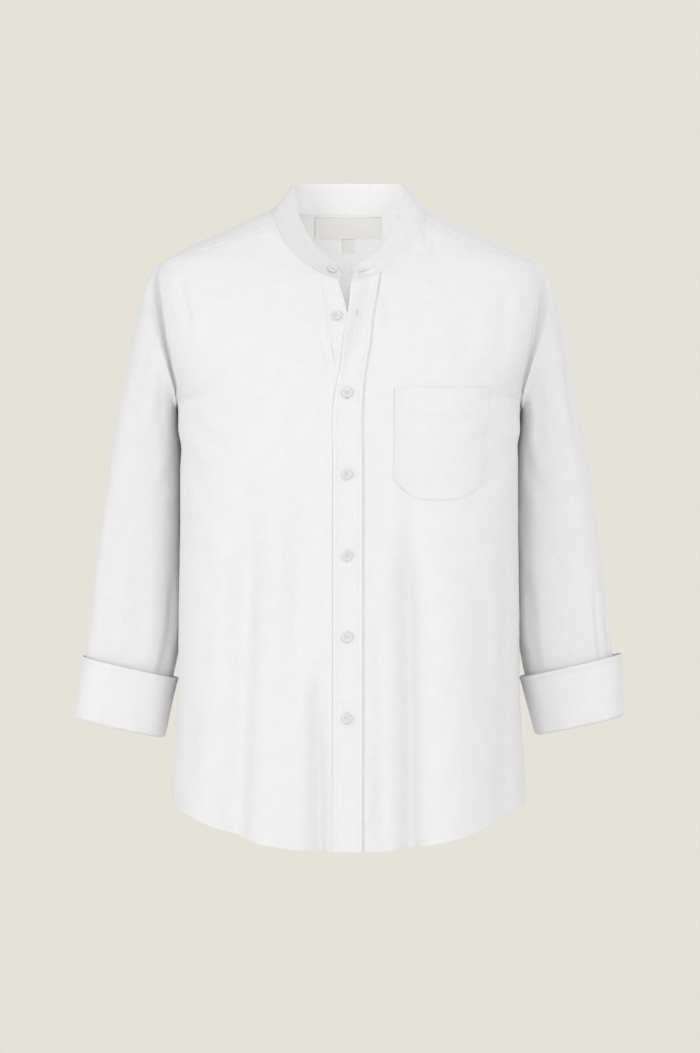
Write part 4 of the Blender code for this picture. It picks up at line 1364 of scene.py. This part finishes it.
def on_collar(round_neck, up):
    """A point of the collar, so many millimetres round from the centre front and up from the neck seam."""
    round_neck, up = np.broadcast_arrays(np.asarray(round_neck, float), np.asarray(up, float))

    def bare(u, v):
        return collar_point(np.radians(u / COLLAR_PER_DEGREE), v / COLLAR_HEIGHT)

    place = bare(round_neck, up)
    sunk = collar_sink(place, round_neck / COLLAR_PER_DEGREE, 100 * up / COLLAR_HEIGHT)
    return place - sunk[..., None] * outward(bare, round_neck, up, 1)


# ---- the shirt's parts, made, with their cut sizes worked out ----


def make_front(side_name, looks):
    """A front with its hem's and its armhole's stitches."""
    band_edge, open_edge = ("start", "end") if side_name == "left" else ("end", "start")
    panel = front_panel(side_name)
    up_armhole = ease((np.arange(len(panel))[:, None] - BODY_ROWS) / 12)
    edges = [
        ("foot", "hem", HEM_STITCH),
        ("top", "under", 0),
        (open_edge, "seam", mix(HEM_STITCH, ARMHOLE_STITCH, up_armhole)),
    ]
    if side_name == "left":
        edges.append((band_edge, "beside", underlap(len(panel))[:, None]))
    else:
        edges.append((band_edge, "seam", RIGHT_SEAM))
    grid = finished(panel, edges)
    band_column = 0 if side_name == "left" else -1
    piece = sheet("front_" + side_name, grid, looks["linen"], CLOTH, origin=(BODY_ROWS, band_column))
    by_armhole = grid[-(ARMHOLE_STEPS // 2 - YOKE_TURN) :]
    lines = stitched(grid, ("foot", HEM_STITCH)) + stitched(by_armhole, (open_edge, ARMHOLE_STITCH))
    return piece, grid, stitching("stitches_front_" + side_name, lines, looks["thread"])


def make_pocket(looks):
    """The pocket on its front, with two rows of stitches below the line of its hem."""
    edges = [(border, "hem", EDGE_STITCH) for border in ("foot", "start", "end")]
    grid = finished(pocket(), edges + [("top", "hem", POCKET_HEM)])
    piece = sheet("pocket", grid, looks["linen"], TRIM_CLOTH)
    from_mouth = distance_from(grid, "top")[:, grid.shape[1] // 2]
    below = grid[: int(np.argmin(np.abs(from_mouth - 2))) + 1]
    lines = []
    for inset in (EDGE_STITCH, POCKET_STITCH):
        lines += stitched(grid, ("foot", inset))
        lines += stitched(below, ("start", inset), ("end", inset))
    lines += stitched(grid, ("top", POCKET_HEM))
    sewn = stitching("stitches_pocket", lines, looks["thread"])
    declare(grid, [sewn])


def make_fronts(looks):
    """Both fronts, and the pocket on the left one."""
    fronts = [make_front(side_name, looks) for side_name in SIDES]
    make_pocket(looks)
    for piece, grid, sewn in fronts:
        declare(grid, [sewn])


def make_back(looks):
    """The back with its hem's and its armholes' stitches."""
    edges = [("foot", "hem", HEM_STITCH)] + [(border, "under", 0) for border in ("top", "start", "end")]
    grid = finished(back_panel(), edges)
    piece = sheet("back", grid, looks["linen"], CLOTH, origin=(BODY_ROWS, BACK_STEPS // 2))
    by_armholes = grid[-(ARMHOLE_STEPS // 2 - BACK_YOKE_TURN) :]
    lines = stitched(grid, ("foot", HEM_STITCH))
    lines += stitched(by_armholes, ("start", HEM_STITCH), ("end", HEM_STITCH))
    sewn = stitching("stitches_back", lines, looks["thread"])
    declare(grid, [sewn])


def make_yoke(looks):
    """The yoke with the stitches of its front, shoulder and back seams."""
    borders = ("foot", "start", "end")
    edges = [(border, "seam", EDGE_STITCH) for border in borders] + [("top", "under", 0)]
    grid = finished(yoke(), edges)
    piece = sheet("yoke", grid, looks["linen"], CLOTH, origin=(-1, SEAM_STEPS))
    lines = stitched(grid, *((border, EDGE_STITCH) for border in borders))
    sewn = stitching("stitches_yoke", lines, looks["thread"])
    declare(grid, [sewn])


def make_placket(looks):
    """The buttonhole band, with its stitches, and the painted shade sheets in the slits of its buttonholes.
    """
    lengths = (("foot", HEM_STITCH), ("start", BAND_STITCH), ("end", BAND_STITCH))
    grid = finished(front_band("left"), [(border, "hem", distance) for border, distance in lengths])
    piece = sheet("placket", grid, looks["linen"], PLACKET_CLOTH)
    holes = [(BUTTON_X, z, *BUTTONHOLE, math.pi / 2) for z in front_button_heights()]
    made = [buttonhole(on_placket, *hole) for hole in (*holes, TOP_BUTTONHOLE)]
    lines = stitched(grid, *lengths) + [rim for rim, _ in made]
    sewn = stitching("stitches_placket", lines, looks["thread"])
    return piece, grid, sewn, [slit for _, slit in made]


def make_button_stand(looks):
    """The button band, under the placket."""
    edges = [("foot", "hem", HEM_STITCH), ("start", "seam", EDGE_STITCH), ("end", "hem", STAND_STITCH)]
    grid = finished(front_band("right"), edges)
    piece = sheet("button_stand", grid, looks["linen"], STAND_CLOTH)
    lines = stitched(grid, ("start", EDGE_STITCH), ("end", STAND_STITCH))
    sewn = stitching("stitches_button_stand", lines, looks["thread"])
    declare(grid, [sewn])


def make_collar(looks):
    """The collar with its stitches. Returns the painted shade sheet in its buttonhole's slit."""
    edges = [("foot", "hem", NECK_STITCH)]
    edges += [(border, "hem", COLLAR_STITCH) for border in ("top", "start", "end")]
    grid = finished(collar(), edges)
    piece = sheet("collar", grid, looks["linen"], BAND_CLOTH)
    rim, slit = buttonhole(on_collar, *COLLAR_BUTTONHOLE)
    lines = stitched(grid, ("foot", NECK_STITCH), ("top", COLLAR_STITCH)) + [rim]
    sewn = stitching("stitches_collar", lines, looks["thread"])
    declare(grid, [sewn])
    return slit


def make_arm(side_name, looks):
    """A sleeve and its turned-back cuff."""
    side = SIDES[side_name]
    grid = finished(sleeve(side), [("foot", "under", 0)], True)
    tube = sheet("sleeve_" + side_name, grid, looks["linen"], CLOTH, True)
    declare(grid, ring=True)
    grid = finished(cuff(side), [("top", "hem", CUFF_STITCH)], True)
    fold = sheet("cuff_" + side_name, grid, looks["linen"], CUFF_CLOTH, True)
    outside = grid[CUFF_INSIDE_ROWS + CUFF_FOLD_ROWS :]
    lines = stitched(outside, ("top", CUFF_STITCH), ring=True)
    sewn = stitching("stitches_cuff_" + side_name, lines, looks["thread"])
    declare(grid, [sewn], ring=True)


def front_button_heights():
    """Heights of the fastened buttons, from the top one down."""
    return [FRONT_BUTTON_Z - n * BUTTON_SPACING for n in range(FRONT_BUTTONS)]


def make_buttons(looks):
    """The buttons, each turned its own way, and their thread."""
    places = [(*STAND_BUTTON, -STAND_SINK - UNDONE_SINK)]
    places += [(BUTTON_X, z, band_lift("left", 0.5)) for z in front_button_heights()]
    bars = []
    for n, (x, z, lift) in enumerate(places):
        seat = on_front(x, z, lift + SEAT_RISE + BUTTON_CLEARANCE)
        facing = outward(on_front, x, z, FACING_STEP)
        bars.append(button(f"button_{n + 1}", seat, facing, 0.4 + 1.3 * n, looks["shell"]))
    turn = math.degrees(-math.asin((COLLAR_BUTTON_X / NECK_HALF_WIDTH) ** (NECK_POWER / 2)))
    place = (turn * COLLAR_PER_DEGREE, COLLAR_HEIGHT / 2)
    facing = outward(on_collar, *place, FACING_STEP)
    seat = on_collar(*place) + (SEAT_RISE + BUTTON_CLEARANCE) * facing
    bars.append(button("button_collar", seat, facing, 0.9, looks["shell"]))
    stitching("thread_buttons", bars, looks["thread"])


def make_slit_shade(slits, looks):
    """One object of the painted shade sheets in the slits of all the buttonholes."""
    parts = [(slit.reshape(-1, 3), quads(numbered(slit)).reshape(-1, 4)) for slit in slits]
    return add("buttonhole_slit_shade", mesh_of("buttonhole_slit_shade", *joined(parts)), looks["slit"])


def make_tapes(looks):
    """The plain label and the size tag, inside the back of the neck."""
    edges = [("start", "hem", EDGE_STITCH), ("end", "hem", EDGE_STITCH)]
    grid = finished(patch_inside_back(*LABEL, LABEL_DEPTH), edges)
    label = sheet("neck_label", grid, looks["tape"], TRIM_CLOTH)
    lines = stitched(grid, ("start", EDGE_STITCH), ("end", EDGE_STITCH))
    sewn = stitching("stitches_neck_label", lines, looks["thread"])
    declare(grid, [sewn])
    grid = patch_inside_back(*SIZE_TAG, LABEL_DEPTH)
    tag = sheet("size_tag", grid, looks["tape"], TRIM_CLOTH)
    declare(grid)


# ---- the studio ----


def floor():
    """The studio's floor, well below the hem."""
    finish = Shading("floor_paper", (0.80, 0.785, 0.75), 0.9)
    grain = finish.noise("Object", (40, 40, 40), 3.0)
    finish.colour(finish.between(grain, 0, 1), (0.79, 0.775, 0.74), (0.81, 0.795, 0.76))
    mesh = bpy.data.meshes.new("floor")
    x, y = FLOOR_HALF_SIZE
    corners = [(-x, -y, FLOOR_Z), (x, -y, FLOOR_Z), (x, y, FLOOR_Z), (-x, y, FLOOR_Z)]
    mesh.from_pydata(corners, [], [(0, 1, 2, 3)])
    mesh.materials.append(finish.material)
    plane = bpy.data.objects.new("floor", mesh)
    bpy.context.scene.collection.objects.link(plane)


def area_light(name, place, aim, size, watts, spread):
    """A square lamp that the camera doesn't see."""
    lamp = bpy.data.lights.new(name, "AREA")
    lamp.size = size
    lamp.energy = watts
    lamp.spread = math.radians(spread)
    lamp.color = LAMP_COLOUR
    thing = bpy.data.objects.new(name, lamp)
    bpy.context.scene.collection.objects.link(thing)
    thing.location = place
    thing.visible_camera = False
    thing.rotation_euler = (Vector(aim) - Vector(place)).to_track_quat("-Z", "Y").to_euler()


def backdrop():
    """A world that lights the shirt evenly, and shows the camera the backdrop's colour."""
    world = bpy.data.worlds.new("backdrop")
    world.use_nodes = True
    nodes, link = world.node_tree.nodes, world.node_tree.links.new
    around = nodes["Background"]
    around.inputs["Color"].default_value = (*AMBIENT, 1)
    seen = nodes.new("ShaderNodeBackground")
    seen.inputs["Color"].default_value = (*BACKDROP, 1)
    either = nodes.new("ShaderNodeMixShader")
    link(nodes.new("ShaderNodeLightPath").outputs["Is Camera Ray"], either.inputs[0])
    link(around.outputs[0], either.inputs[1])
    link(seen.outputs[0], either.inputs[2])
    link(either.outputs[0], nodes["World Output"].inputs["Surface"])
    return world


def studio():
    """The photograph's plain ground and soft light, and its camera."""
    scene = bpy.context.scene
    scene.view_settings.view_transform = "Standard"
    scene.world = backdrop()
    for lamp in LAMPS:
        area_light(*lamp)
    camera = bpy.data.objects.new("camera", bpy.data.cameras.new("camera"))
    scene.collection.objects.link(camera)
    camera.location = CAMERA_PLACE
    camera.rotation_euler = (math.radians(90), 0, 0)
    camera.data.lens = CAMERA_LENS
    camera.data.sensor_width = 36
    scene.camera = camera


def build():
    """The whole shirt, in its studio."""
    looks = {
        "linen": linen("linen_white"),
        "thread": thread("thread_white"),
        "shell": shell("shell_white"),
        "tape": tape("tape_cream"),
        "slit": shadow_gap("slit_shadow"),
    }
    make_fronts(looks)
    make_back(looks)
    make_yoke(looks)
    placket, grid, sewn, slits = make_placket(looks)
    make_button_stand(looks)
    slits.append(make_collar(looks))
    for side_name in SIDES:
        make_arm(side_name, looks)
    make_buttons(looks)
    declare(grid, [sewn, make_slit_shade(slits, looks)])
    make_tapes(looks)
    floor()
    studio()


build()
